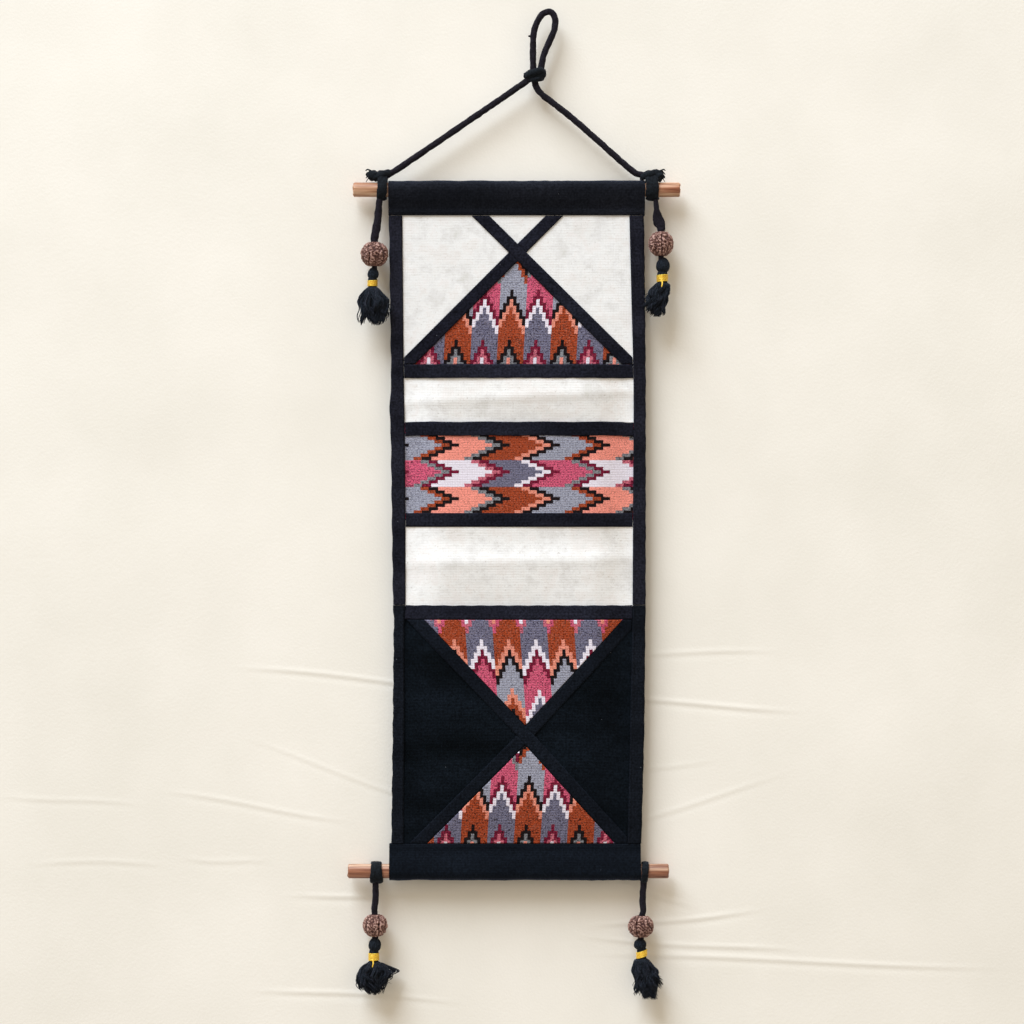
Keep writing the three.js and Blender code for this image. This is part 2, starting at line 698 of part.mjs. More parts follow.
// Round bar a little larger than the top dowel, for cutting what is tied round it
function dowelClearance() {
  const bar = new THREE.CylinderGeometry(DOWEL_RADIUS + GAP, DOWEL_RADIUS + GAP, TOP_DOWEL.length, 20);
  bar.rotateZ(Math.PI / 2);
  bar.translate(TOP_DOWEL.x, 0, TOP_DOWEL.z);
  return bar;
}
add('wrap_bottom_left', toGeometry(windings(-138.4, BOTTOM_DOWEL.z, 9.4, TURN_THICK)), blackCord);
add('wrap_bottom_right', toGeometry(windings(76.4, BOTTOM_DOWEL.z, 5.2, TURN_THICK)), blackCord);

// Wrinkled seed bead: deep grooves part its lobes, each lobe carries lumps, and a bore runs through it
function bead(wide, tall, turn) {
  const bore = CORD_RADIUS + GAP;
  const bands = 9;
  const dip = 0.12;
  const lump = 0.05;
  const start = Math.asin(bore / (wide / 2));
  const outer = Array.from({ length: bands + 1 }, (_, i) => {
    const angle = start + ((Math.PI - 2 * start) * i) / bands;
    return new THREE.Vector2((wide / 2) * Math.sin(angle), (tall / 2) * Math.cos(angle));
  });
  const geometry = plain(new THREE.LatheGeometry([...outer, outer[0].clone()], 4 * BEAD_SEGMENTS));
  const at = geometry.attributes.position;
  for (let i = 0; i < at.count; i += 1) {
    const radius = Math.hypot(at.getX(i), at.getZ(i));
    if (radius < bore + 0.1) continue;
    const around = Math.atan2(at.getZ(i), at.getX(i)) + turn;
    const groove = Math.abs(Math.cos((BEAD_SEGMENTS * around) / 2)) - 0.5;
    const lumps = Math.cos(2 * BEAD_SEGMENTS * around) * Math.cos((9 * at.getY(i)) / tall + turn);
    const most = 1 + ((bore + 0.2) / radius - 1) * Number(radius < bore + 2);
    const scale = Math.max(1 + dip * groove + lump * lumps, most);
    at.setX(i, at.getX(i) * scale);
    at.setZ(i, at.getZ(i) * scale);
  }
  geometry.rotateX(Math.PI / 2);
  return geometry;
}

// One strand of a skirt: three-sided, from inside the shoulder out and down to its own tip
function strand(size, i, rootZ) {
  const golden = Math.PI * (3 - Math.sqrt(5));
  const out = Math.sqrt((i + 0.5) / STRANDS);
  const angle = i * golden + size.turn;
  const rootSpread = size.tieWide / 2 + 1.2;
  const length = size.length * (0.84 + 0.16 * Math.cos(i * 2.1 + size.turn) ** 2);
  const stations = [0, 0.4, 1];
  const rings = stations.map((along) => {
    const eased = 1 - (1 - along) ** 1.8;
    const wide = THREE.MathUtils.lerp(rootSpread, size.spread, eased);
    const deep = THREE.MathUtils.lerp(rootSpread, size.depth, eased);
    const x = size.tieX + size.lean * along ** 1.2 + wide * out * Math.cos(angle);
    const y = size.y + size.leanFront * along + deep * out * Math.sin(angle);
    const z = rootZ - length * along;
    const thick = STRAND_RADIUS * (1 + 0.5 * Math.sin(Math.PI * along));
    return [0, 1, 2].map((corner) => {
      const turned = angle + (2 * Math.PI * corner) / 3;
      return [x + thick * Math.cos(turned), y + thick * Math.sin(turned), z];
    });
  });
  return toSolid(loft(rings, [[0, 1, 2]]));
}

// Head, neck and skirt of a tassel: the head is the yarn's folded top, the strands leave its shoulder
function tassel(size, route) {
  const neck = size.tieWide / 2 - TAPE - GAP;
  const neckTop = size.tieZ + size.tieTall / 2 + GAP;
  const neckFoot = size.tieZ - size.tieTall / 2 - GAP;
  const shoulder = size.tieWide / 2 + 1.4;
  const ball = ellipsoid([size.headX, size.y, size.headZ], [size.headWide, size.headWide, size.headTall]);
  const profile = [
    [0, neckTop + 1.6],
    [neck, neckTop + 1],
    [neck, neckFoot],
    [shoulder, neckFoot - 1.8],
    [shoulder, neckFoot - 3.2],
    [0, neckFoot - 3.2],
  ];
  const core = new THREE.LatheGeometry(profile.map(([r, h]) => new THREE.Vector2(r, h)), 12);
  core.rotateX(Math.PI / 2);
  core.translate(size.tieX, size.y, 0);
  const body = ball.add(toSolid(plain(core))).subtract(socket(reachOn(route, false, 1), 2));
  const rootZ = neckFoot - 2;
  const strands = Array.from({ length: STRANDS }, (_, i) => strand(size, i, rootZ));
  return toGeometry(strands.reduce((sum, one) => sum.add(one), body));
}

// Gold thread bound round the neck, as one band
function tie(size) {
  const inner = size.tieWide / 2 - TAPE;
  const half = size.tieTall / 2;
  const soft = 0.5;
  const profile = [
    [inner, half],
    [inner + TAPE - soft, half],
    [inner + TAPE, half - soft],
    [inner + TAPE, soft - half],
    [inner + TAPE - soft, -half],
    [inner, -half],
    [inner, half],
  ];
  const band = new THREE.LatheGeometry(profile.map(([r, h]) => new THREE.Vector2(r, h)), 14);
  band.rotateX(Math.PI / 2);
  band.translate(size.tieX, size.y, size.tieZ);
  return plain(band);
}

for (const size of tassels) {
  const headTop = size.headZ + size.headTall / 2;
  const beadHalf = size.beadTall / 2;
  const route = [
    [size.cordX, size.y, size.cordTop],
    [size.cordX + (size.beadX - size.cordX) * 0.4, size.y, size.cordTop - (size.cordTop - size.beadZ) * 0.4],
    [size.beadX, size.y, size.beadZ + beadHalf + 3],
    [size.beadX, size.y, size.beadZ + beadHalf],
    [size.beadX, size.y, size.beadZ],
    [size.beadX, size.y, size.beadZ - beadHalf],
    [size.beadX, size.y, headTop - 2],
  ];
  add(`tassel_cord_${size.name}`, tube(route, CORD_RADIUS, 12), blackCord);
  const seedBead = bead(size.beadWide, size.beadTall, size.turn);
  seedBead.translate(size.beadX, size.y, size.beadZ);
  add(`bead_${size.name}`, seedBead, seed);
  add(`tassel_${size.name}`, tassel(size, route), yarn);
  add(`tie_${size.name}`, tie(size), goldThread);
}

const hanging = new THREE.Group();
hanging.add(panel);
for (const mesh of meshes) {
  if (!mesh.parent) hanging.add(mesh);
}
export default hanging;
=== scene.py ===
"""Pocket wall hanging: cloth, cords, dowels, beads and tassels, made as surfaces of two parameters.

Lengths are millimetres until a mesh is made, and metres in the settings. +Z is up and the front faces -Y. The
origin is the inside top of the hanging loop.
"""

import functools
import math

import bmesh
import bpy
import numpy as np
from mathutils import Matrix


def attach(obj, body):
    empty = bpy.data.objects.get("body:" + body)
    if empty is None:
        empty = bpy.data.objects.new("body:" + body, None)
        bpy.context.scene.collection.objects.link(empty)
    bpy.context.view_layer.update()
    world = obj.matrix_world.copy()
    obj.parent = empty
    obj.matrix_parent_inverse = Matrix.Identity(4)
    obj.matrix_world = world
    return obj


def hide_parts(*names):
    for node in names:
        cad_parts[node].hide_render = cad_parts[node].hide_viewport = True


bl_info = {
    "name": "Pocket wall hanging",
    "version": (1, 0, 0),
    "blender": (4, 5, 0),
    "location": "3D View > Sidebar > Hanging",
    "description": "Builds the cloth, cords, dowels, beads and tassels of a pocket wall hanging",
    "category": "Object",
}

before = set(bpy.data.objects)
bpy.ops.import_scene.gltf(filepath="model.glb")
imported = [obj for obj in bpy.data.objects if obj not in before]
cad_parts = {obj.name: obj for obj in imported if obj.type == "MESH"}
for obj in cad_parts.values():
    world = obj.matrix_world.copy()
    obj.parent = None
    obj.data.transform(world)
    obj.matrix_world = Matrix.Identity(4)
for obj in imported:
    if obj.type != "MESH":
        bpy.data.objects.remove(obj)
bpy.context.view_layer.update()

MM = 0.001

# The panel's middle, the thickness of a cloth and of a folded tape, and the air between two layers
PANEL_X = -26.0
CLOTH = 1.2
TAPE = 1.0
GAP = 0.3
CLOTH_FRONT = GAP + CLOTH
TAPE_FRONT = CLOTH_FRONT + GAP + TAPE
BINDING_FRONT = CLOTH_FRONT + GAP + CLOTH

DOWEL_RADIUS = 5.8
TOP_DOWEL = {"length": 262.0, "x": -26.0, "z": -139.9}
BOTTOM_DOWEL = {"length": 257.0, "x": -32.6, "z": -686.0}
CORD_RADIUS = 2.5

# Width over which a pocket front rises from the side bindings, and the height of a mouth tape
FLANK = 34.0
MOUTH_TAPE = 11.2

# A cross's tapes lie at about 45 degrees: half their width and their gap, measured level, and the cosines of
# their edges' lean
TAPE_REACH = 5 * math.sqrt(2)
TAPE_GAP = GAP * math.sqrt(2)
SLANT, TAPE_SLANT = 0.72, 0.71

# A pocket's foot is tucked behind the next seam: how far down it goes, where it steps in, and half its width
TUCK, TUCK_STEP, TUCK_HALF = 5.0, 0.7, 70.0

# Heights of the seams
HEADER_TOP, MOUTH_A, FOOT_A, MOUTH_B = -154.0, -279.9, -325.7, -326.0
BAND_FOOT, CREAM_TOP, FOOT_B, MOUTH_C, FOOT_C = -399.0, -410.1, -472.6, -472.9, -663.5
BAND_SEAM = (BAND_FOOT + CREAM_TOP) / 2
HEM_TOP, HEM_BOTTOM = -160.6, -663.8

# Edges of the side bindings from top to bottom, from the panel's middle:
# height, left outer, left inner, right inner, right outer
EDGES = np.array([
    [-160.9, -102.4, -91.5, 90.3, 102.1],
    [-230.0, -101.4, -90.9, 92.0, 102.9],
    [-291.0, -100.5, -90.3, 93.6, 103.5],
    [-318.0, -101.9, -89.8, 93.7, 103.5],
    [-337.0, -100.8, -89.5, 93.6, 103.5],
    [-399.0, -100.0, -89.0, 93.2, 103.5],
    [-472.6, -99.0, -88.9, 92.8, 103.4],
    [-484.0, -98.4, -89.9, 92.7, 103.2],
    [-570.0, -99.2, -89.9, 91.0, 102.4],
    [-663.5, -100.4, -90.6, 88.9, 100.0],
])
LEFT_OUTER, LEFT_INNER, RIGHT_INNER, RIGHT_OUTER = 1, 2, 3, 4

# How far each pocket front stands out from the panel: height, depth
POCKET_A = np.array([
    [-279.9, 6.2], [-291.2, 6.6], [-299.0, 6.9], [-306.0, 6.5], [-312.0, 5.9], [-319.0, 5.1], [-325.7, 4.2],
])
POCKET_B = np.array([
    [-326.0, 6.6], [-337.4, 6.9], [-368.0, 7.2], [-399.0, 7.3], [-410.0, 7.1], [-419.0, 6.3], [-423.0, 6.2],
    [-430.0, 6.8], [-437.0, 7.6], [-441.0, 7.5], [-449.0, 6.8], [-456.0, 6.1], [-464.0, 5.3], [-472.6, 4.3],
])
POCKET_C = np.array([
    [-472.9, 6.8], [-484.0, 7.1], [-530.0, 7.2], [-580.0, 6.6], [-615.0, 5.4], [-640.0, 3.4], [-656.0, 1.2],
    [-663.5, 0.0],
])

# Centrelines of the two crosses: height, falling tape, rising tape
HEADER_CROSS = np.array([[-150.0, -40.0, 41.2], [-190.3, 0.8, 0.8], [-279.6, 91.1, -88.3]])
LOWER_CROSS = np.array([[-484.1, -81.5, 92.5], [-576.6, 7.1, 7.1], [-663.5, 86.0, -78.8]])
FALL, RISE = 1, 2

# Distances in from a cloth edge at which its roll is drawn
RIM = np.array([0.0, 0.2, 0.5, 0.9, 1.5, 2.4])

LOOP_ROUTE = [
    [-12.6, -44], [-12.9, -36], [-12.8, -26], [-12.6, -17], [-11.3, -10.2], [-8.5, -3.4], [-4.5, 1.2],
    [0, 2.8], [3.6, 0.4], [5, -5.4], [4.2, -11.8], [1.6, -18.2], [-1.7, -25.4], [-4.6, -33.4], [-6.6, -43],
]
LEFT_LEG_ROUTE = [
    [-15, -50.6], [-24, -57], [-50, -74.9], [-76, -92.6], [-102, -110.3], [-122, -123.8], [-130, -128.6],
]
RIGHT_LEG_ROUTE = [
    [-11.6, -51], [-10.4, -57], [-6.6, -62.6], [6, -72.6], [19.1, -83], [44, -104.9], [60, -119.2],
    [70, -126.8], [77, -128.4],
]

# One row for each tassel. A place is x and z, a size is width and height, and `y` is its depth. `widths` is
# half the cord's width at shares of its length, `bore` how far right it enters the bead, `loose` whether the
# gold thread has a loose end and `tilt` the slope of its turns. In the skirt, `lean` and `lean_front` are how
# far the foot lies to the right and back, `spread` and `depth` half its width and depth, `turn` its locks'
# turn, `ease` how soon they fan out, `frizz` the share of straying threads, `airy` how much looser and
# shorter the right side is, and `slope` how much shorter the locks become towards the right
TASSELS = {
    "top_left": {
        "cord": (-135.9, -149.3), "y": -3.0, "bead": (-139.8, -191.8), "bead_size": (21.2, 20.0),
        "head": (-140.8, -207.3), "head_size": (8.6, 10.0), "tie": (-141.4, -215.0), "tie_size": (8.4, 5.6),
        "lean": 3.2, "lean_front": -6.4, "spread": 9.8, "depth": 4.6, "length": 29.5, "turn": 0.2,
        "widths": ((0, 2.5), (0.3, 3.0), (0.5, 3.4), (0.6, 2.7), (0.66, 2.2), (1, 2.0)), "loose": False,
        "ease": 4.0, "frizz": 0.04, "tilt": 0.0, "bore": 0.0, "airy": 0.2, "slope": 0.0,
    },
    "top_right": {
        "cord": (85.4, -149.3), "y": -3.0, "bead": (89.6, -183.5), "bead_size": (19.0, 20.4),
        "head": (91.2, -200.7), "head_size": (10.6, 12.8), "tie": (90.6, -211.0), "tie_size": (9.4, 6.4),
        "lean": -6.8, "lean_front": -6.4, "spread": 7.4, "depth": 4.6, "length": 26.5, "turn": 0.9,
        "widths": ((0, 2.0), (0.14, 2.3), (0.3, 4.3), (0.38, 4.5), (0.5, 3.0), (0.62, 2.2), (1, 2.0)),
        "loose": True, "ease": 2.2, "frizz": 0.03, "tilt": 0.06, "bore": 0.0, "airy": 0.0, "slope": -0.1,
    },
    "bottom_left": {
        "cord": (-139.0, -695.6), "y": -1.0, "bead": (-139.4, -729.4), "bead_size": (19.0, 18.4),
        "head": (-139.6, -744.8), "head_size": (9.6, 11.8), "tie": (-140.4, -754.4), "tie_size": (8.8, 6.8),
        "lean": 1.4, "lean_front": -2.0, "spread": 11.2, "depth": 7.0, "length": 25.2, "turn": 1.7,
        "widths": ((0, 2.5), (1, 2.4)), "loose": True, "ease": 4.2, "frizz": 0.06, "tilt": 0.0,
        "bore": -0.3, "airy": 0.8, "slope": 0.08,
    },
    "bottom_right": {
        "cord": (75.8, -695.6), "y": -1.0, "bead": (73.6, -730.2), "bead_size": (19.8, 18.0),
        "head": (73.0, -744.4), "head_size": (9.6, 9.6), "tie": (74.2, -752.4), "tie_size": (9.0, 6.0),
        "lean": 6.4, "lean_front": -2.0, "spread": 11.8, "depth": 6.4, "length": 31.2, "turn": 2.6,
        "widths": ((0, 2.5), (1, 2.4)), "loose": False, "ease": 1.35, "frizz": 0.05, "tilt": 0.28,
        "bore": 1.0, "airy": 0.0, "slope": 0.16,
    },
}


def linear(code):
    """Linear colour from an sRGB hex code"""
    parts = [int(code[i:i + 2], 16) / 255 for i in (1, 3, 5)]
    return [p / 12.92 if p <= 0.04045 else ((p + 0.055) / 1.055) ** 2.4 for p in parts]


def colour(name, description, code):
    """Setting for a colour, whose default is an sRGB hex code"""
    return bpy.props.FloatVectorProperty(
        name=name, description=description, subtype="COLOR", min=0.0, max=1.0, default=linear(code),
    )


class ClothSettings(bpy.types.PropertyGroup):
    """Sizes and tint of the cloth"""

    ripple: bpy.props.FloatProperty(
        name="Ripple", description="Height of the small unevenness of all cloth", default=0.16 * MM,
        precision=5, unit="LENGTH",
    )
    roll: bpy.props.FloatProperty(
        name="Edge roll", description="How far a tape's edges turn down", default=0.7 * MM, precision=5,
        unit="LENGTH",
    )
    pitch: bpy.props.FloatProperty(
        name="Grid pitch", description="Spacing of the grid lines on cloth", default=2.2 * MM, precision=5,
        unit="LENGTH",
    )
    cream: colour("Cream", "The palest tint of the cream cotton", "#f9fbfb")


class FlameSettings(bpy.types.PropertyGroup):
    """Colours of the flame weave's yarns"""

    grey: colour("Grey", "Grey fields", "#a5a9b9")
    rust: colour("Rust", "Rust fields", "#ad4a28")
    salmon: colour("Salmon", "Salmon fields", "#ff9f8e")
    pink: colour("Pink", "Pink fields", "#df6181")
    white: colour("White", "White fields and edgings", "#efeaf6")
    violet: colour("Violet", "Violet grey fields", "#797990")
    ink: colour("Black", "Lines round the rust and salmon fields", "#1d171a")
    crimson: colour("Crimson", "Lines round the pink and white fields", "#831b3b")
    grey_edge: colour("Grey edging", "Edging beside the salmon and pink fields", "#8b8f94")
    pink_edge: colour("Pink edging", "Edging beside the white fields", "#da7386")
    salmon_edge: colour("Salmon edging", "Edging beside the rust fields", "#f39a83")


class CordSettings(bpy.types.PropertyGroup):
    """Shape of the cords and what is tied from them"""

    sides: bpy.props.IntProperty(name="Sides", description="Points round a cord's section", default=20)
    crease: bpy.props.FloatProperty(
        name="Crease", description="Depth of the soft creases as a share of the radius", default=0.09,
        subtype="FACTOR", min=0.0, max=1.0,
    )
    lay: bpy.props.FloatProperty(
        name="Lay", description="Length of cord in which its creases wind round once", default=34.0 * MM,
        precision=4, unit="LENGTH",
    )


class BeadSettings(bpy.types.PropertyGroup):
    """Relief of the seed beads"""

    wrinkle: bpy.props.FloatProperty(
        name="Wrinkle", description="Height of the winding ridges", default=0.42 * MM, precision=5,
        unit="LENGTH",
    )
    wavelength: bpy.props.FloatProperty(
        name="Wavelength", description="Distance from one ridge to the next", default=2.35 * MM, precision=5,
        unit="LENGTH",
    )
    lobes: bpy.props.IntProperty(name="Lobes", description="Number of segments round a bead", default=5)


class TasselSettings(bpy.types.PropertyGroup):
    """Yarn and gold thread of the tassels"""

    locks: bpy.props.IntProperty(name="Locks", description="Curly locks in one skirt", default=24)
    strands: bpy.props.IntProperty(name="Strands", description="Threads in one skirt", default=624)
    radius: bpy.props.FloatProperty(
        name="Radius", description="Radius of one thread", default=0.46 * MM, precision=5, unit="LENGTH",
    )
    wander: bpy.props.FloatProperty(
        name="Wander", description="How far a thread strays sideways", default=0.8 * MM, precision=5,
        unit="LENGTH",
    )
    gold: colour("Gold", "The gold thread's middle tone", "#f2c428")


class DowelSettings(bpy.types.PropertyGroup):
    """Woods of the two dowels"""

    pale: colour("Pale wood", "Middle tone of the top dowel", "#c89c7c")
    red: colour("Reddish wood", "Middle tone of the bottom dowel", "#bf9a80")


class StageSettings(bpy.types.PropertyGroup):
    """Camera, wall and light"""

    distance: bpy.props.FloatProperty(
        name="Camera distance", description="From the camera to the front", default=2.6, unit="LENGTH",
    )
    width: bpy.props.FloatProperty(
        name="Picture width", description="Width shown at the hanging's own distance", default=0.8192,
        unit="LENGTH",
    )
    wall: bpy.props.FloatProperty(
        name="Wall", description="Distance of the wall behind the panel's front", default=0.0108,
        precision=5, unit="LENGTH",
    )
    wall_colour: colour("Wall colour", "The paler tone of the wall's cotton", "#faf7ee")
    key: bpy.props.FloatProperty(
        name="Key light", description="Power of the light from the upper left", default=690.0, unit="POWER",
    )


def waves(seed, wavelength, count=28, dimensions=2):
    """Smooth seeded field of about -1 to 1: a sum of cosines that share one wavelength and run all ways"""
    rng = np.random.default_rng(seed)
    way = rng.normal(size=(dimensions, count))
    way *= 2 * math.pi / (wavelength * np.linalg.norm(way, axis=0))
    phase = rng.uniform(0, 2 * math.pi, count)

    def field(*at):
        """Value of the field at coordinates given as one array each"""
        stacked = np.stack(np.broadcast_arrays(*at), -1)
        return np.cos(stacked @ way + phase).sum(-1) / math.sqrt(count)

    return field


def smooth(x):
    """Smooth step: 0 at or below 0, 1 at or above 1, level at both ends"""
    held = np.clip(x, 0, 1)
    return held * held * (3 - 2 * held)


def bump(x, middle, width):
    """Bell curve of height 1 about `middle`, which falls to 1/e at `width` from it"""
    return np.exp(-((x - middle) / width) ** 2)


def table(rows, z, column=1):
    """Column of a table at height z, straight between its rows"""
    return np.interp(z, rows[::-1, 0], rows[::-1, column])


def pocket_out(rows, x, z):
    """Depth of a pocket front: its table's depth, averaged over 6 mm of height and eased from nothing at each
    side binding by a cosine"""
    if rows is None:
        return np.zeros(np.broadcast(x, z).shape)
    side = np.minimum(x - table(EDGES, z, LEFT_INNER), table(EDGES, z, RIGHT_INNER) - x)
    share = (1 - np.cos(math.pi * np.clip(side / FLANK, 0, 1))) / 2
    depth = sum(table(rows, z + shift) for shift in (-3.0, -1.5, 0.0, 1.5, 3.0)) / 5
    return depth * share


def grid_faces(rows, columns, round_rows=False, round_columns=False):
    """Quads of a grid stored row by row, closed on itself in either direction if asked"""
    i = np.arange(rows if round_rows else rows - 1)
    j = np.arange(columns if round_columns else columns - 1)
    a, b = (index.ravel() for index in np.meshgrid(i, j, indexing="ij"))
    below, beside = (a + 1) % rows, (b + 1) % columns
    return np.stack([a * columns + b, a * columns + beside, below * columns + beside, below * columns + b], 1)


def surface(x, y, z, **closed):
    """Points and faces of the grid on which x, y and z are given"""
    points = np.stack(np.broadcast_arrays(x, y, z), -1)
    return points.reshape(-1, 3), grid_faces(*points.shape[:2], **closed)


def joined(parts):
    """Several point and face arrays as one pair, the faces counted on"""
    starts = np.cumsum([0] + [len(points) for points, _ in parts[:-1]])
    points = np.concatenate([points for points, _ in parts])
    faces = np.concatenate([faces + start for (_, faces), start in zip(parts, starts)])
    return points, faces


def new_object(name, points, faces, material, outward=None):
    """Object from arrays in millimetres. A closed surface has its seams and poles welded and its faces turned
    outwards, and an open one has its faces turned towards `outward`"""
    mesh = bpy.data.meshes.new(name)
    mesh.from_pydata((points * MM).tolist(), [], faces.tolist())
    work = bmesh.new()
    work.from_mesh(mesh)
    bmesh.ops.remove_doubles(work, verts=work.verts, dist=2e-6)
    bmesh.ops.dissolve_degenerate(work, edges=work.edges, dist=1e-7)
    bmesh.ops.recalc_face_normals(work, faces=work.faces)
    if outward is not None:
        facing = sum(face.normal.dot(outward) * face.calc_area() for face in work.faces)
        if facing < 0:
            bmesh.ops.reverse_faces(work, faces=work.faces)
    work.to_mesh(mesh)
    work.free()
    mesh.shade_smooth()
    mesh.materials.append(material)
    piece = bpy.data.objects.new(name, mesh)
    bpy.context.scene.collection.objects.link(piece)
    return piece


def make(solid, kind, shape, material, outward=None):
    """Piece of one kind in place of a CAD solid, from its points and faces"""
    piece = new_object(f"{solid}_{kind}", *shape, material, outward)
    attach(piece, "root")
    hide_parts(solid)
    return piece


def thicken(piece, thickness):
    """Gives an open surface its cloth's thickness, on the side away from its faces"""
    solid = piece.modifiers.new("Thickness", "SOLIDIFY")
    solid.thickness = thickness * MM
    solid.offset = -1
    solid.use_even_offset = False


def rgba(tone):
    """Linear colour with alpha, from an sRGB hex code or from a colour setting"""
    return [*(linear(tone) if isinstance(tone, str) else tone), 1.0]


def output_of(source):
    """A node's first output in use; anything else is given back as it is"""
    if isinstance(source, bpy.types.Node):
        return next(output for output in source.outputs if output.enabled)
    return source


def node(tree, kind, inputs=(), stops=(), **settings):
    """Adds one shader node with its settings. An input is a value, an output, or a node whose first output in
    use is linked; `stops` are a colour ramp's places and colours"""
    new = tree.nodes.new("ShaderNode" + kind)
    for key, value in settings.items():
        setattr(new, key, value)
    for key, value in dict(inputs).items():
        source = output_of(value)
        if isinstance(source, bpy.types.NodeSocket):
            tree.links.new(source, new.inputs[key])
        else:
            new.inputs[key].default_value = source
    if stops:
        elements = new.color_ramp.elements
        while len(elements) < len(stops):
            elements.new(0.5)
        for element, (place, tone) in zip(elements, stops):
            element.position = place
            element.color = rgba(tone)
    return new


# A Mix node's two colour inputs, which have to be named by number, and the settings of one that multiplies
A, B = 6, 7
MULTIPLIED = {"data_type": "RGBA", "blend_type": "MULTIPLY"}


def start_material(name, roughness, **shader_values):
    """New material with its shader's own values set; gives the material, its tree, its shader and the place
    in the frame"""
    material = bpy.data.materials.new(name)
    material.use_nodes = True
    tree = material.node_tree
    shader = tree.nodes["Principled BSDF"]
    for key, value in {"Roughness": roughness, **shader_values}.items():
        shader.inputs[key.replace("_", " ")].default_value = value
    return material, tree, shader, node(tree, "TexCoord").outputs["Object"]


def dress(tree, shader, tone, height, depth):
    """Gives the shader its colour and lets a height shape its normal; the relief's depth is in mm"""
    relief = node(tree, "Bump", {"Height": height, "Distance": depth * MM, "Strength": 1.0})
    tree.links.new(output_of(relief), shader.inputs["Normal"])
    tree.links.new(output_of(tone), shader.inputs["Base Color"])


def weave_height(tree, place, pitch):
    """Plain weave: two sets of rounded threads at right angles, each a little uneven. Real threads of about
    0.4 mm are too fine to show from here, so they are drawn at `pitch`"""
    scale = math.pi / (10 * pitch * MM)
    height = node(tree, "TexNoise", {"Vector": place, "Scale": 900.0, "Detail": 2.0})
    for way in "XZ":
        threads = node(
            tree, "TexWave", {"Vector": place, "Scale": scale, "Distortion": 1.6, "Detail Scale": 3.0},
            wave_type="BANDS", bands_direction=way,
        )
        height = node(tree, "Math", {0: height, 1: threads.outputs["Fac"]}, operation="ADD")
    return height


def black_cotton(name, dark, light, pitch, sheen=0.03):
    """Matt black cotton: soft streaks along the weft drift between two near blacks, partly uneven dye and
    partly painted sheen, a fine grain darkens single threads, and a few specks of pale lint give the eye the
    surface where the weave is lost in the dark"""
    material, tree, shader, place = start_material(
        name, 0.95, Specular_IOR_Level=0.06, Sheen_Weight=sheen, Sheen_Roughness=0.45,
        Sheen_Tint=rgba("#8fa0c8"),
    )
    # The streaks are drawn out along the weft: partly uneven dye, partly painted sheen bands
    drawn = node(tree, "Mapping", {"Vector": place, "Scale": (0.4, 1.0, 1.0)})
    streaks = node(tree, "TexNoise", {"Vector": drawn, "Scale": 30.0, "Detail": 5.0, "Roughness": 0.62})
    tone = node(tree, "ValToRGB", {"Fac": streaks}, [(0.32, dark), (0.68, light)])
    grain = node(tree, "TexNoise", {"Vector": place, "Scale": 620.0, "Detail": 3.0})
    grain_tone = node(tree, "ValToRGB", {"Fac": grain}, [(0.32, "#9a9a9a"), (0.68, "#ffffff")])
    cloth = node(tree, "Mix", {"Factor": 1.0, A: tone, B: grain_tone}, **MULTIPLIED)
    cells = node(tree, "TexVoronoi", {"Vector": place, "Scale": 150.0, "Randomness": 1.0})
    chance = node(tree, "TexWhiteNoise", {"Vector": cells.outputs["Position"]})
    small = node(tree, "Math", {0: cells, 1: 0.055}, operation="LESS_THAN")
    few = node(tree, "Math", {0: chance, 1: 0.9}, operation="GREATER_THAN")
    lint = node(tree, "Math", {0: small, 1: few}, operation="MULTIPLY")
    flecked = node(tree, "Mix", {"Factor": lint, A: cloth, B: rgba("#5c6068")}, data_type="RGBA")
    dress(tree, shader, flecked, weave_height(tree, place, pitch), 0.12)
    return material


def cream_cotton(name, shade):
    """Undyed cotton: pale clouds of a few tints, small dark flecks and short faint slubs along the weft,
    which give it the uneven, handwoven look. `shade` is how much of its brightness is kept"""
    material, tree, shader, place = start_material(name, 0.95, Specular_IOR_Level=0.1)
    cloud = node(tree, "TexNoise", {"Vector": place, "Scale": 55.0, "Detail": 6.0, "Roughness": 0.7})
    tone = node(tree, "ValToRGB", {"Fac": cloud}, [
        (0.26, "#e2e3df"), (0.4, "#eff0f0"), (0.5, bpy.context.scene.hanging_cloth.cream), (0.6, "#f6f5f4"),
        (0.74, "#eff2f1"),
    ])
    fleck = node(tree, "TexNoise", {"Vector": place, "Scale": 640.0, "Detail": 3.0})
    fleck_tone = node(tree, "ValToRGB", {"Fac": fleck}, [
        (0.2, "#cdc9c2"), (0.33, "#f9f8f7"), (0.46, "#ffffff"),
    ])
    flecked = node(tree, "Mix", {"Factor": 1.0, A: tone, B: fleck_tone}, **MULTIPLIED)
    drawn = node(tree, "Mapping", {"Vector": place, "Scale": (0.14, 1.0, 1.0)})
    slub = node(tree, "TexNoise", {"Vector": drawn, "Scale": 820.0, "Detail": 1.0})
    slub_tone = node(tree, "ValToRGB", {"Fac": slub}, [(0.26, "#dedad2"), (0.5, "#ffffff")])
    whole = node(tree, "Mix", {"Factor": 0.2, A: flecked, B: slub_tone}, **MULTIPLIED)
    kept = node(tree, "HueSaturation", {"Color": whole, "Value": shade})
    soft = node(tree, "TexNoise", {"Vector": drawn, "Scale": 300.0, "Detail": 4.0})
    height = node(tree, "Math", {0: weave_height(tree, place, 1.3), 1: soft}, operation="ADD")
    dress(tree, shader, kept, height, 0.06)
    return material


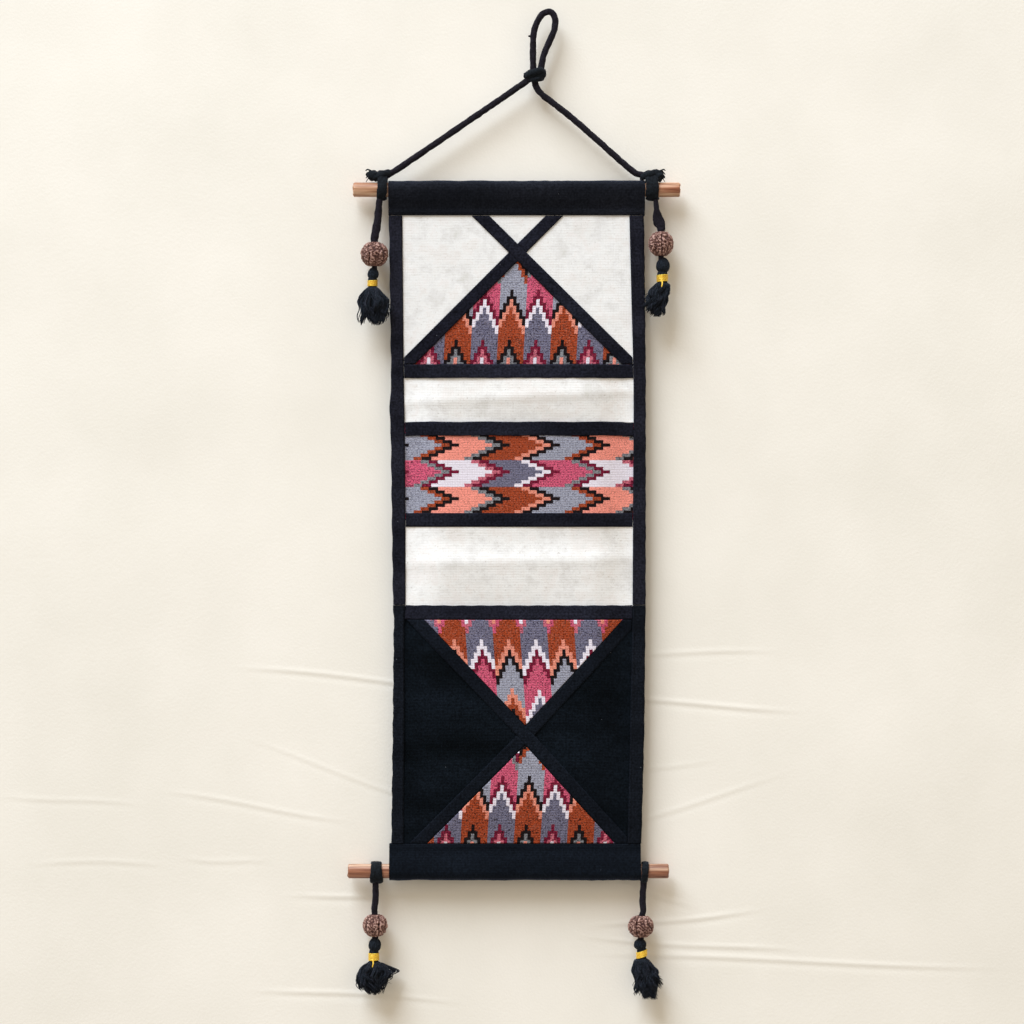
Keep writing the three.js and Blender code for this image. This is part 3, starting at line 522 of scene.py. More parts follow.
# Along a flame's way, one after another: length in millimetres and colour, for the two kinds of lane
FIELD, EDGING, LINE = 26.1, 6.6, 7.6
LANE_A = [
    (FIELD, "salmon"), (EDGING, "grey_edge"), (LINE, "ink"), (FIELD, "rust"), (EDGING, "salmon_edge"),
    (LINE, "ink"), (FIELD, "grey"), (EDGING, "rust"), (LINE, "ink"),
]
LANE_B = [
    (FIELD, "white"), (EDGING, "pink_edge"), (LINE, "crimson"), (FIELD, "violet"), (EDGING, "white"),
    (LINE, "crimson"), (FIELD, "pink"), (EDGING, "grey_edge"), (LINE, "crimson"),
]
# The same from the top down in the hanging triangle, whose flames are set in the other way
HANGING_A = [
    (12.0, "salmon_edge"), (7.5, "pink"), (25.5, "rust"), (8.2, "salmon_edge"), (7.4, "ink"), (23.7, "grey"),
    (7.7, "salmon_edge"), (8.6, "rust"), (7.4, "ink"), (12.0, "salmon"),
]
HANGING_B = [
    (12.0, "white"), (7.5, "pink_edge"), (25.5, "violet"), (8.2, "white"), (7.4, "crimson"), (24.9, "pink"),
    (6.7, "white"), (20.0, "violet"), (7.8, "crimson"),
]
LANE_COLUMNS = 8.0


def lane_stops(lane):
    """Places and colours of one lane's ramp, from the lengths of its runs"""
    tones = bpy.context.scene.hanging_flame
    lengths = np.array([length for length, _ in lane])
    starts = np.concatenate([[0], np.cumsum(lengths)[:-1]]) / lengths.sum()
    return [(float(start), getattr(tones, tone)) for start, (_, tone) in zip(starts, lane)]


def flame_weave(name, across, along, lane, step, back, lanes, period):
    """Handwoven stepped flames: the cloth is parted into lanes of eight columns, each column is set back from
    the lane's tip by whole steps, and the colours follow one another along the way, with ragged edges. Darker
    threads show most in the dark colours and lighter specks in the middle ones, which gives their melange.
    `across` and `along` are weights of x, z and 1 that give the two cloth directions in millimetres, `back`
    is the tip's column, and `lanes` are the runs of the two kinds of lane"""
    material, tree, shader, place = start_material(name, 0.94, Specular_IOR_Level=0.08)
    split = node(tree, "SeparateXYZ", {0: place})
    ragged = node(tree, "TexNoise", {"Vector": place, "Scale": 700.0, "Detail": 2.0})
    stray = node(tree, "Math", {0: ragged, 1: -0.5}, operation="ADD")

    def cloth_way(weights, rag):
        """Place along one cloth direction in millimetres, with noise of `rag` millimetres for ragged edges"""
        by_x = node(tree, "Math", {0: split.outputs["X"], 1: weights[0] / MM}, operation="MULTIPLY")
        by_z = node(
            tree, "Math", {0: split.outputs["Z"], 1: weights[1] / MM, 2: by_x}, operation="MULTIPLY_ADD",
        )
        moved = node(tree, "Math", {0: by_z, 1: weights[2]}, operation="ADD")
        return node(tree, "Math", {0: stray, 1: rag, 2: moved}, operation="MULTIPLY_ADD")

    lane_place = node(tree, "Math", {0: cloth_way(across, 0.5), 1: lane}, operation="DIVIDE")
    within = node(tree, "Math", {0: lane_place}, operation="FRACT")
    counted = node(tree, "Math", {0: within, 1: LANE_COLUMNS}, operation="MULTIPLY")
    column = node(tree, "Math", {0: counted}, operation="FLOOR")
    from_tip = node(tree, "Math", {0: column, 1: -float(back)}, operation="ADD")
    steps = node(tree, "Math", {0: from_tip}, operation="ABSOLUTE")
    set_back = node(tree, "Math", {0: steps, 1: step, 2: cloth_way(along, 1.4)}, operation="MULTIPLY_ADD")
    turns = node(tree, "Math", {0: set_back, 1: period}, operation="DIVIDE")
    phase = node(tree, "Math", {0: turns}, operation="FRACT")
    ramps = [node(tree, "ValToRGB", {"Fac": phase}, lane_stops(runs)) for runs in lanes]
    for ramp in ramps:
        ramp.color_ramp.interpolation = "CONSTANT"
    number = node(tree, "Math", {0: lane_place}, operation="FLOOR")
    pair = node(tree, "Math", {0: number, 1: 0.5}, operation="MULTIPLY")
    odd = node(tree, "Math", {0: pair}, operation="FRACT")
    second = node(tree, "Math", {0: odd, 1: 0.25}, operation="GREATER_THAN")
    woven = node(tree, "Mix", {"Factor": second, A: ramps[0], B: ramps[1]}, data_type="RGBA")

    drawn = node(tree, "Mapping", {"Vector": place, "Scale": (1.0, 1.0, 1.9)})
    melange = node(tree, "TexNoise", {"Vector": drawn, "Scale": 820.0, "Detail": 3.0})
    melange_tone = node(
        tree, "ValToRGB", {"Fac": melange},
        [(0.34, "#45434b"), (0.46, "#c9c6cd"), (0.54, "#fbfafc"), (0.6, "#ffffff")],
    )
    lightness = node(tree, "RGBToBW", {0: woven})
    strength = node(tree, "MapRange", {
        "Value": lightness, "From Min": 0.3, "From Max": 0.6, "To Min": 1.0, "To Max": 0.2,
    })
    grained = node(tree, "Mix", {"Factor": strength, A: woven, B: melange_tone}, **MULTIPLIED)
    specks = node(tree, "TexNoise", {"Vector": drawn, "Scale": 950.0, "Detail": 2.0})
    speck_tone = node(tree, "ValToRGB", {"Fac": specks}, [
        (0.5, "#000000"), (0.57, "#2c2524"), (0.68, "#62574f"),
    ])
    coloured = node(tree, "MapRange", {
        "Value": lightness, "From Min": 0.03, "From Max": 0.1, "To Min": 0.15, "To Max": 0.8,
    })
    shown = node(tree, "Math", {0: coloured, 1: strength}, operation="MULTIPLY")
    specked = node(
        tree, "Mix", {"Factor": shown, A: grained, B: speck_tone}, data_type="RGBA", blend_type="SCREEN",
    )
    height = node(tree, "Math", {0: weave_height(tree, place, 1.35), 1: melange}, operation="ADD")
    dress(tree, shader, specked, height, 0.14)
    return material


def bare_wood(name, setting, pores, dark, pale):
    """Sanded brown wood with grain drawn out along the dowel, in four tones from the dark pores to the pale
    wood between them, and a few darker reddish streaks. `setting` names the colour of the middle tone"""
    material, tree, shader, place = start_material(name, 0.45, Specular_IOR_Level=0.5)
    drawn = node(tree, "Mapping", {"Vector": place, "Scale": (0.05, 1.0, 1.0)})
    grain = node(tree, "TexNoise", {"Vector": drawn, "Scale": 520.0, "Detail": 4.0})
    grain_tone = node(tree, "ValToRGB", {"Fac": grain}, [
        (0.3, pores), (0.42, dark), (0.54, getattr(bpy.context.scene.hanging_dowel, setting)), (0.7, pale),
    ])
    streaks = node(tree, "TexNoise", {"Vector": drawn, "Scale": 130.0, "Detail": 1.0})
    streak_tone = node(tree, "ValToRGB", {"Fac": streaks}, [(0.38, "#c48d6e"), (0.52, "#ffffff")])
    wood = node(tree, "Mix", {"Factor": 0.8, A: grain_tone, B: streak_tone}, **MULTIPLIED)
    dress(tree, shader, wood, grain, 0.1)
    return material


def soft_black(name, dark, light, scale, sheen):
    """Soft black cotton of cords and yarn: near black in its furrows, which is painted shade, and slightly
    grey on its ridges, which is painted highlight, with a faint sheen that shows its roundness"""
    material, tree, shader, place = start_material(
        name, 0.9, Specular_IOR_Level=0.12, Sheen_Weight=sheen, Sheen_Roughness=0.4,
        Sheen_Tint=rgba("#a8a6c0"),
    )
    relief_and_painted_light = node(tree, "TexNoise", {"Vector": place, "Scale": scale, "Detail": 4.0, "Roughness": 0.6})
    # One noise gives the relief and the colour: painted shade where it is low and painted highlight where it
    # is high
    dress(tree, shader, node(tree, "ValToRGB", {"Fac": relief_and_painted_light}, [(0.34, dark), (0.7, light)]), relief_and_painted_light, 0.25)
    return material


def dried_seed(name, centre, size):
    """Dried seed: dark reddish pits, brown slopes and tan ridges. The pits' darkness is partly the seed's own
    colour and partly painted shade, and the ridges' pale tan is partly rubbing and partly painted highlight.
    The height over the seed's own egg shape picks the colour, so the colours follow the wrinkles"""
    material, tree, shader, place = start_material(name, 0.6, Specular_IOR_Level=0.4)
    inside = node(tree, "VectorMath", {0: place, 1: [-c * MM for c in centre]}, operation="ADD")
    scaled = node(tree, "VectorMath", {0: inside, 1: [2 / (s * MM) for s in size]}, operation="MULTIPLY")
    height = node(tree, "VectorMath", {0: scaled}, operation="LENGTH")
    spots = node(tree, "TexNoise", {"Vector": place, "Scale": 420.0, "Detail": 3.0})
    moved = node(tree, "Math", {0: spots, 1: 0.05, 2: height}, operation="MULTIPLY_ADD")
    spread = node(tree, "MapRange", {"Value": moved, "From Min": 0.93, "From Max": 1.1})
    # Colour by height: darker in the pits, partly painted shade, and paler on the ridges, partly painted
    # highlight
    tone = node(tree, "ValToRGB", {"Fac": spread}, [
        (0.0, "#200e0d"), (0.33, "#40201b"), (0.58, "#603e35"), (0.8, "#856257"), (1.0, "#b8958a"),
    ])
    dress(tree, shader, tone, spots, 0.2)
    return material


def gold_thread():
    """Yellow gold thread with a soft gleam; its colour drifts at random from a deep orange, which is painted
    shade, to a pale yellow, which is painted highlight
    """
    material, tree, shader, place = start_material(
        "gold thread", 0.42, Metallic=0.25, Specular_IOR_Level=0.5, Sheen_Weight=0.15,
    )
    fibre_and_painted_gleam = node(tree, "TexNoise", {"Vector": place, "Scale": 1500.0, "Detail": 2.0})
    # The deep orange is painted shade and the pale yellow is painted highlight, spread at random
    tone = node(tree, "ValToRGB", {"Fac": fibre_and_painted_gleam}, [
        (0.34, "#cf9416"), (0.5, bpy.context.scene.hanging_tassel.gold), (0.66, "#ffea66"),
    ])
    dress(tree, shader, tone, fibre_and_painted_gleam, 0.08)
    return material


def wall_cloth():
    """Pale cream cotton hung behind as the backdrop, with faint clouds. Its back is see-through, so that a
    view from behind shows the hanging"""
    material, tree, shader, place = start_material("pale backdrop cotton", 0.95, Specular_IOR_Level=0.1)
    cloud = node(tree, "TexNoise", {"Vector": place, "Scale": 7.0, "Detail": 5.0, "Roughness": 0.6})
    tone = node(tree, "ValToRGB", {"Fac": cloud}, [
        (0.32, "#f2efe5"), (0.68, bpy.context.scene.hanging_stage.wall_colour),
    ])
    thread = node(tree, "TexNoise", {"Vector": place, "Scale": 500.0, "Detail": 3.0})
    dress(tree, shader, tone, thread, 0.12)
    behind = node(tree, "NewGeometry").outputs["Backfacing"]
    either = node(tree, "MixShader", {0: behind, 1: shader, 2: node(tree, "BsdfTransparent")})
    tree.links.new(output_of(either), tree.nodes["Material Output"].inputs["Surface"])
    return material


def pale_floor():
    """Matt pale paint on the floor, faintly clouded, so that it reads as a plain studio floor"""
    material, tree, shader, place = start_material("matt pale floor paint", 0.9, Specular_IOR_Level=0.15)
    cloud = node(tree, "TexNoise", {"Vector": place, "Scale": 3.0, "Detail": 4.0})
    tone = node(tree, "ValToRGB", {"Fac": cloud}, [(0.32, "#ece7de"), (0.68, "#f3efe7")])
    grit = node(tree, "TexNoise", {"Vector": place, "Scale": 260.0, "Detail": 2.0})
    dress(tree, shader, tone, grit, 0.1)
    return material


def stations(left, right, pitch):
    """Places across each row between two edges, given as columns of heights: closer at both edges, where the
    cloth rolls, and about `pitch` apart between them"""
    width = right - left
    rim = RIM * np.minimum(1, width / (4 * RIM[-1]))
    count = max(2, int(width.max() / pitch))
    share = np.linspace(0, 1, count + 1)[1:-1]
    middle = rim[:, -1:] + (width - 2 * rim[:, -1:]) * share
    return left + np.concatenate([rim, middle, width - rim[:, ::-1]], 1)


def row_heights(top, foot, pitch, extra=()):
    """Heights from top to bottom, closer at both ends, with any extra ones put between them"""
    count = max(2, int((top - foot - 2 * RIM[-1]) / pitch))
    middle = np.linspace(top - RIM[-1], foot + RIM[-1], count + 1)[1:-1]
    rows = np.concatenate([top - RIM, middle, foot + RIM, np.asarray(extra, float)])
    return np.unique(rows)[::-1]


def seed_of(name):
    """Seed made from a piece's name, the same in every run"""
    return sum((place + 1) * ord(letter) for place, letter in enumerate(name)) % 100000


def cloth_piece(name, kind, top, foot, left, right, front, thick, out=None, roll=0.0, slant=1.0,
                crease=None, pitch=None, extra=(), strip=None):
    """Piece of cloth as a thin sheet between the edges `left` and `right`, functions of the height. Its face
    lies `front` before the panel, or before the pocket front `out`, less a quarter circle's drop of `roll` at
    its edges, plus the cloth's ripple and the creases given by `crease`. `slant` is the cosine of its sides'
    lean, `extra` is heights of more rows, and `strip` is the width of a tape that is laid aslant"""
    cloth = bpy.context.scene.hanging_cloth
    pitch = pitch or cloth.pitch / MM
    z = row_heights(top, foot, pitch, extra)[:, None]
    lefts, rights = np.broadcast_to(left(z), z.shape), np.broadcast_to(right(z), z.shape)
    x = stations(lefts, rights, pitch)
    z = np.broadcast_to(z, x.shape)
    inward = np.minimum(np.minimum(x - lefts, rights - x) * slant, np.minimum(top - z, z - foot))
    turned = np.clip(1 - inward / (2.2 * max(roll, 0.01)), 0, 1)
    depth = pocket_out(out, x, z) + front - roll * (1 - np.sqrt(1 - turned ** 2))
    seed = seed_of(name)
    ripple = waves(seed, 38.0)(x, z) + 0.5 * waves(seed + 1, 13.0)(x, z)
    depth = depth + cloth.ripple / MM * 0.5 * ripple * smooth(inward / 6)
    if crease is not None:
        depth = depth + crease(x, z) * smooth(inward / 2)
    piece = make(name, "face", surface(x + PANEL_X, -depth, z), finish(kind), outward=(0, -1, 0))
    thicken(piece, thick)
    widths = (rights - lefts)[:, 0]
    area = float(np.sum((widths[1:] + widths[:-1]) / 2 * -np.diff(z[:, 0])))
    width = strip or float((rights - lefts).max())
    length = area / width if strip else top - foot
    area = min(width * length, max(0.3 * width * length, area))


def held_left(z):
    """Left edge of the layers that the side binding holds"""
    return table(EDGES, z, LEFT_OUTER) + CLOTH + GAP


def held_right(z):
    """Right edge of the layers that the side binding holds"""
    return table(EDGES, z, RIGHT_OUTER) - CLOTH - GAP


def between_left(z):
    """Left end of what lies between the side bindings"""
    return table(EDGES, z, LEFT_INNER) + GAP


def between_right(z):
    """Right end of what lies between the side bindings"""
    return table(EDGES, z, RIGHT_INNER) - GAP


def tucked(full, foot, narrow):
    """An edge that steps in to `narrow` below a foot, where the cloth is tucked behind the next seam"""
    return lambda z: np.where(z > foot - TUCK_STEP, full(z), narrow)


def cross_lines(cross):
    """Centrelines of a cross's falling and rising tape, as functions of the height"""
    return (lambda z: table(cross, z, FALL)), (lambda z: table(cross, z, RISE))


def curve_through(points, count):
    """Centripetal Catmull-Rom curve through the points, as `count` points evenly spaced along it"""
    points = np.asarray(points, float)
    ends = np.concatenate([[2 * points[0] - points[1]], points, [2 * points[-1] - points[-2]]])
    t = np.linspace(0, 1, 24, endpoint=False)[:, None]
    spans = []
    for a, b, c, d in zip(ends[:-3], ends[1:-2], ends[2:-1], ends[3:]):
        apart = (np.linalg.norm(q - p) for p, q in ((a, b), (b, c), (c, d)))
        first, middle, last = (math.sqrt(max(distance, 1e-6)) for distance in apart)
        leave = ((b - a) / first - (c - a) / (first + middle) + (c - b) / middle) * middle
        arrive = ((c - b) / middle - (d - b) / (middle + last) + (d - c) / last) * middle
        spans.append(
            (2 * t ** 3 - 3 * t ** 2 + 1) * b + (t ** 3 - 2 * t ** 2 + t) * leave
            + (3 * t ** 2 - 2 * t ** 3) * c + (t ** 3 - t ** 2) * arrive
        )
    line = np.concatenate(spans + [points[-1:]])
    travelled = distance_along(line)
    even = np.linspace(0, travelled[-1], count)
    return np.stack([np.interp(even, travelled, line[:, axis]) for axis in range(3)], 1)


def distance_along(path):
    """Distance from a line's first point to each of its points"""
    return np.concatenate([[0], np.cumsum(np.linalg.norm(np.diff(path, axis=0), axis=1))])


def length_of(path):
    """Length of a line of points"""
    return float(distance_along(path)[-1])


def angles_round(count):
    """Angles once round, as a row"""
    return np.linspace(0, 2 * math.pi, count, endpoint=False)[None, :]


def tube(path, wide, thick, reference, sides, relief=None, ring=False):
    """Tube carried along a path. Its section is an ellipse, `thick` towards `reference` and `wide` across it,
    times 1 + relief(distance along, angle round). An open tube ends in two domes"""
    path = np.asarray(path, float)
    count = len(path)
    wide, thick = np.broadcast_to(wide, count), np.broadcast_to(thick, count)
    if ring:
        along = np.roll(path, -1, axis=0) - np.roll(path, 1, axis=0)
    else:
        along = np.gradient(path, axis=0)
    along /= np.linalg.norm(along, axis=1, keepdims=True)
    scale = np.ones(count)
    if not ring:
        dome = 5
        bend = np.linspace(0, math.pi / 2, dome + 1)[:-1]
        before = path[0] - along[0] * (np.cos(bend) * min(wide[0], thick[0]))[:, None]
        after = path[-1] + along[-1] * (np.cos(bend[::-1]) * min(wide[-1], thick[-1]))[:, None]
        path = np.concatenate([before, path, after])
        along = np.pad(along, ((dome, dome), (0, 0)), mode="edge")
        scale = np.concatenate([np.sin(bend), scale, np.sin(bend[::-1])])
        wide, thick = np.pad(wide, dome, mode="edge"), np.pad(thick, dome, mode="edge")
    first = np.asarray(reference, float) - along * (along @ np.asarray(reference, float))[:, None]
    first /= np.linalg.norm(first, axis=1, keepdims=True)
    second = np.cross(along, first)
    angle = angles_round(sides)
    travelled = distance_along(path)[:, None]
    size = scale[:, None] * (1 + (relief(travelled, angle) if relief else 0 * angle))
    across = (thick[:, None] * size * np.cos(angle))[..., None] * first[:, None, :]
    beside = (wide[:, None] * size * np.sin(angle))[..., None] * second[:, None, :]
    points = path[:, None, :] + across + beside
    return points.reshape(-1, 3), grid_faces(len(path), sides, round_rows=ring, round_columns=True)


def cord_relief(seed, strength=1.0):
    """Soft furrows that wind along a cloth cord, and dents of a few millimetres"""
    cord = bpy.context.scene.hanging_cord
    dents = waves(seed, 6.5, dimensions=3)
    fine = waves(seed + 1, 2.6, dimensions=3)

    def relief(along, angle):
        """Rise at a distance along the cord and an angle round it, as a share of the radius"""
        wind = 2 * math.pi * along * MM / cord.lay
        furrow = bump(np.sin(angle - wind + 0.5 * dents(along * 0.4, 0 * angle, 0 * angle)), 0.0, 0.3)
        lump = dents(along, CORD_RADIUS * np.cos(angle), CORD_RADIUS * np.sin(angle))
        hair = fine(along * 0.5, CORD_RADIUS * np.cos(angle), CORD_RADIUS * np.sin(angle))
        return strength * cord.crease * (0.5 - 1.1 * furrow + 0.4 * lump + 0.4 * hair)

    return relief


def cord_piece(name, route, seed, y=0.0, widths=((0, CORD_RADIUS), (1, CORD_RADIUS)), more=()):
    """One length of cord as a mesh tube along its route at the depth `y`. Where the soft cord is spread,
    `widths` gives half its width at shares of its length; `more` is shapes joined to it"""
    cord = bpy.context.scene.hanging_cord
    ring_pitch = 0.7
    route = [[x, y, z] for x, z in route]
    path = curve_through(route, max(24, int(length_of(curve_through(route, 200)) / ring_pitch)))
    share, half = np.transpose(widths)
    wide = np.interp(np.linspace(0, 1, len(path)), share, half)
    thick = np.clip(CORD_RADIUS ** 2 / wide, 1.4, CORD_RADIUS)
    shape = joined([tube(path, wide, thick, (0, -1, 0), cord.sides, cord_relief(seed)), *more])
    piece = make(name, "tube", shape, finish("cord"))


def loose_thread(route, radius, sides=5):
    """Loose thread along a short route, a little thinner at its end"""
    path = curve_through(route, 14)
    taper = np.linspace(1, 0.6, len(path))
    return tube(path, radius * taper, radius * taper, (0.1, -1, 0.2), sides)


def blob(centre, size, seed, turn=0.0, dents=0.06, rows=30, columns=40):
    """Egg shape with soft dents, turned in the hanging's plane: two angles on a grid, closed at its poles"""
    polar = np.linspace(0, math.pi, rows)[:, None]
    around = angles_round(columns)
    unit = np.stack(np.broadcast_arrays(
        np.cos(polar), np.sin(polar) * np.cos(around), np.sin(polar) * np.sin(around)), -1)
    lumps = waves(seed, 4.2, dimensions=3)(*(unit * np.array(size) / 2).transpose(2, 0, 1))
    along, depth, across = (unit * np.array(size) / 2 * (1 + dents * lumps)[..., None]).transpose(2, 0, 1)
    x = along * math.cos(turn) + across * math.sin(turn)
    z = across * math.cos(turn) - along * math.sin(turn)
    return surface(centre[0] + x, centre[1] + depth, centre[2] + z, round_columns=True)


def sling_knot():
    """Knot of the sling: a wrapped turn round the strands, two straps over its front, the lower one thinner,
    and a soft core"""
    centre = np.array([-11.2, 0.0, -48.0])
    turn = np.linspace(-0.2, 2 * math.pi * 1.12, 90)
    grow = np.linspace(0, 1, 90)
    wrap = np.stack([
        centre[0] + (5.9 + 0.5 * grow) * np.cos(turn),
        -3.0 * np.sin(turn) - 0.2,
        centre[2] + 0.3 * np.cos(turn) + 1.2 * (grow - 0.5),
    ], 1)
    strap = curve_through([
        [-4.4, 1.0, -44.4], [-6.6, -3.6, -44.6], [-11.0, -5.2, -45.9], [-15.6, -4.2, -47.3],
        [-18.2, -1.0, -48.2], [-17.6, 1.8, -49.6],
    ], 60)
    lower = curve_through([
        [-5.4, 0.6, -50.6], [-7.2, -3.2, -51.5], [-11.0, -4.4, -52.2], [-14.6, -2.4, -52.0],
        [-15.8, 0.8, -51.0],
    ], 60)
    return joined([
        tube(wrap, 2.4, 3.3, (0, 0, 1), 28, cord_relief(41, 1.2)),
        tube(strap, 2.6, 1.7, (0.1, -1, 0.3), 24, cord_relief(43, 1.2)),
        tube(lower, 1.9, 1.6, (0.1, -1, -0.3), 24, cord_relief(47, 1.2)),
        blob(centre + [0, 0.4, 0], (14.5, 7.6, 10.2), 45, turn=0.1),
    ])


def hitch(x, width, knot_x, end, end_tall, dowel, seed, lean):
    """Cord tied round the top dowel: a strap that runs round the dowel and over the knot above it, the knot,
    and a fat short end, made of two egg shapes, with a frayed tip. The strap's line is a circle below the
    dowel's middle and a taller, narrower oval above it"""
    around = angles_round(96)[0]
    up = np.maximum(np.sin(around), 0)
    half, over = 1.45, 14.1
    reach = DOWEL_RADIUS + GAP + half
    strap = np.stack([
        x + lean * np.sin(around) + 0.25 * np.cos(3 * around),
        -reach * np.cos(around) * (1 - 0.3 * up ** 2),
        dowel + np.sin(around) * np.where(np.sin(around) > 0, over, reach),
    ], 1)
    knot_z = dowel + 11.5
    side = 1 if end > knot_x else -1
    crossing = curve_through([
        [knot_x - 5.6, 2.4, knot_z - 2.6], [knot_x - 4.8, -2.8, knot_z - 1.6],
        [knot_x + 0.6, -5.0, knot_z + 0.6], [knot_x + 5.2, -2.6, knot_z + 2.2],
        [knot_x + 5.6, 2.2, knot_z + 1.4],
    ], 50)
    turned = (end - side * 0.6, -1.6, knot_z - 0.9)
    return joined([
        tube(strap, half, width / 2, (1, 0, 0), 26, cord_relief(seed, 1.1), ring=True),
        blob((knot_x, 0, knot_z), (10.4, 8.6, 8.4), seed + 1, dents=0.08),
        blob((end, -1, knot_z - 0.2), (10.4, 8.4, end_tall), seed + 2, turn=0.12, dents=0.1),
        blob(turned, (8.6, 7.6, end_tall * 0.86), seed + 6, turn=0.9, dents=0.1),
        tube(crossing, 2.5, 1.5, (0.2, -1, 0.2), 22, cord_relief(seed + 3, 1.2)),
        *(loose_thread([
            [end + side * 2.0, -2.6 + 0.9 * k, knot_z + 3.4 - 1.9 * k],
            [end + side * (4.6 - 0.2 * k), -3.0 + k, knot_z + 4.4 - 2.4 * k],
            [end + side * 5.6, -2.8 + k, knot_z + 3.6 - 2.9 * k],
        ], 0.8 - 0.12 * k) for k in range(4)),
    ])


def dowel_wrap(turns, x, dowel, seed):
    """Turns of cord side by side round a dowel, each a ring with its own small tilt, thinner above the dowel
    and thicker below it"""
    around = angles_round(72)[0]
    half = 1.42 - 0.5 * np.sin(around)
    reach = DOWEL_RADIUS + GAP + half
    parts = []
    for number, (offset, wide) in enumerate(turns):
        ring = np.stack([
            x + offset + 0.7 * np.sin(around + 0.6 + number * 2.4),
            -reach * np.cos(around),
            dowel + reach * np.sin(around),
        ], 1)
        parts.append(tube(ring, half, wide / 2, (1, 0, 0), 22, cord_relief(seed + number), ring=True))
    return joined(parts)


def seed_bead(centre, size, turn):
    """Seed bead: an egg with deep grooves that part its lobes and winding ridges between them. The ridges are
    where a sum of two fine fields is above nought, flattened at the top, and a broader field makes them
    thicker in patches; the bore runs through the poles"""
    bead = bpy.context.scene.hanging_bead
    wavelength = bead.wavelength / MM
    rows, columns = 190, 300
    bore = CORD_RADIUS + GAP
    start = math.asin(bore / (size[0] / 2))
    polar = np.linspace(start, math.pi - start, rows)[:, None]
    around = angles_round(columns)
    unit = np.stack(np.broadcast_arrays(
        np.sin(polar) * np.cos(around), np.sin(polar) * np.sin(around), np.cos(polar)), -1)
    at = unit * np.array([size[0], size[0], size[1]]) / 2

    def field(number, wavelength, count=28):
        """Smooth field over places on the bead, with its own seed and wavelength"""
        spread = waves(int(turn * 100) + number, wavelength, count, 3)
        return lambda places: spread(*places.transpose(2, 0, 1))

    swirl = field(3, 9.0)
    bent = at + 0.9 * np.stack([swirl(at + shift) for shift in (0, 31, 67)], -1)
    ridges = 1.9 * field(7, wavelength, 60)(bent) + 1.1 * field(8, wavelength * 0.6, 60)(bent)
    ridges = np.tanh(ridges + 0.5 * field(5, 5.5)(at))
    lobe = bead.lobes * (around + turn) / 2 + 0.3 * swirl(at * 0.6)
    groove = bump(np.cos(lobe), 0.0, 0.17)
    swell = 0.45 * np.abs(np.sin(lobe)) ** 0.7
    height = bead.wrinkle / MM * ridges + 0.12 * field(9, 1.1, 40)(at) - 1.0 * groove + swell - 0.1
    height = height * smooth(np.minimum(polar - start, math.pi - start - polar) / 0.25)
    radius = np.linalg.norm(at, axis=-1)
    at = at * ((radius + height) / radius)[..., None]
    inner = at[[0, -1]] * [(bore - 0.05) / bore, (bore - 0.05) / bore, 0.9]
    points = np.concatenate([inner[:1], at, inner[1:]]) + np.array(centre)
    return points.reshape(-1, 3), grid_faces(rows + 2, columns, round_rows=True, round_columns=True)


def tassel_head(size, y):
    """Head of a tassel, pear-shaped, wound from yarn: lengthwise ridges that lean a little"""
    (x, z), (wide, tall) = size["head"], size["head_size"]
    polar = np.linspace(0, math.pi, 60)[:, None]
    around = angles_round(96)
    ridge = 0.05 * np.cos(18 * around + 3.0 * polar) + 0.03 * np.cos(7 * around - 2.0 * polar + 1)
    radius = wide / 2 * np.sin(polar) * (1 - 0.12 * np.cos(polar)) * (1 + ridge)
    return surface(
        x + radius * np.cos(around), y + radius * np.sin(around), z + tall / 2 * np.cos(polar),
        round_columns=True,
    )


def tassel_neck(size, y):
    """Neck that joins head and skirt inside the thread, and the skirt's shoulder below it"""
    (x, z), (wide, tall) = size["tie"], size["tie_size"]
    neck, shoulder, half = wide / 2 - 0.9, wide / 2 + 1.3, tall / 2
    profile = np.array([
        [0.0, half + 3.0], [neck * 0.8, half + 2.2], [neck, half + 0.6], [neck, -half - 0.2],
        [neck + 1.0, -half - 0.9], [shoulder, -half - 2.4], [shoulder - 0.6, -half - 5.0], [0.0, -half - 8.0],
    ])
    line = curve_through(np.insert(profile, 1, 0.0, axis=1), 48)
    around = angles_round(96)
    ridge = 1 + 0.06 * np.cos(22 * around) + 0.04 * np.cos(9 * around + 1)
    radius = np.maximum(line[:, :1], 0) * ridge
    radius[[0, -1]] = 0
    return surface(
        x + radius * np.cos(around), y + radius * np.sin(around), z + line[:, 2:], round_columns=True,
    )


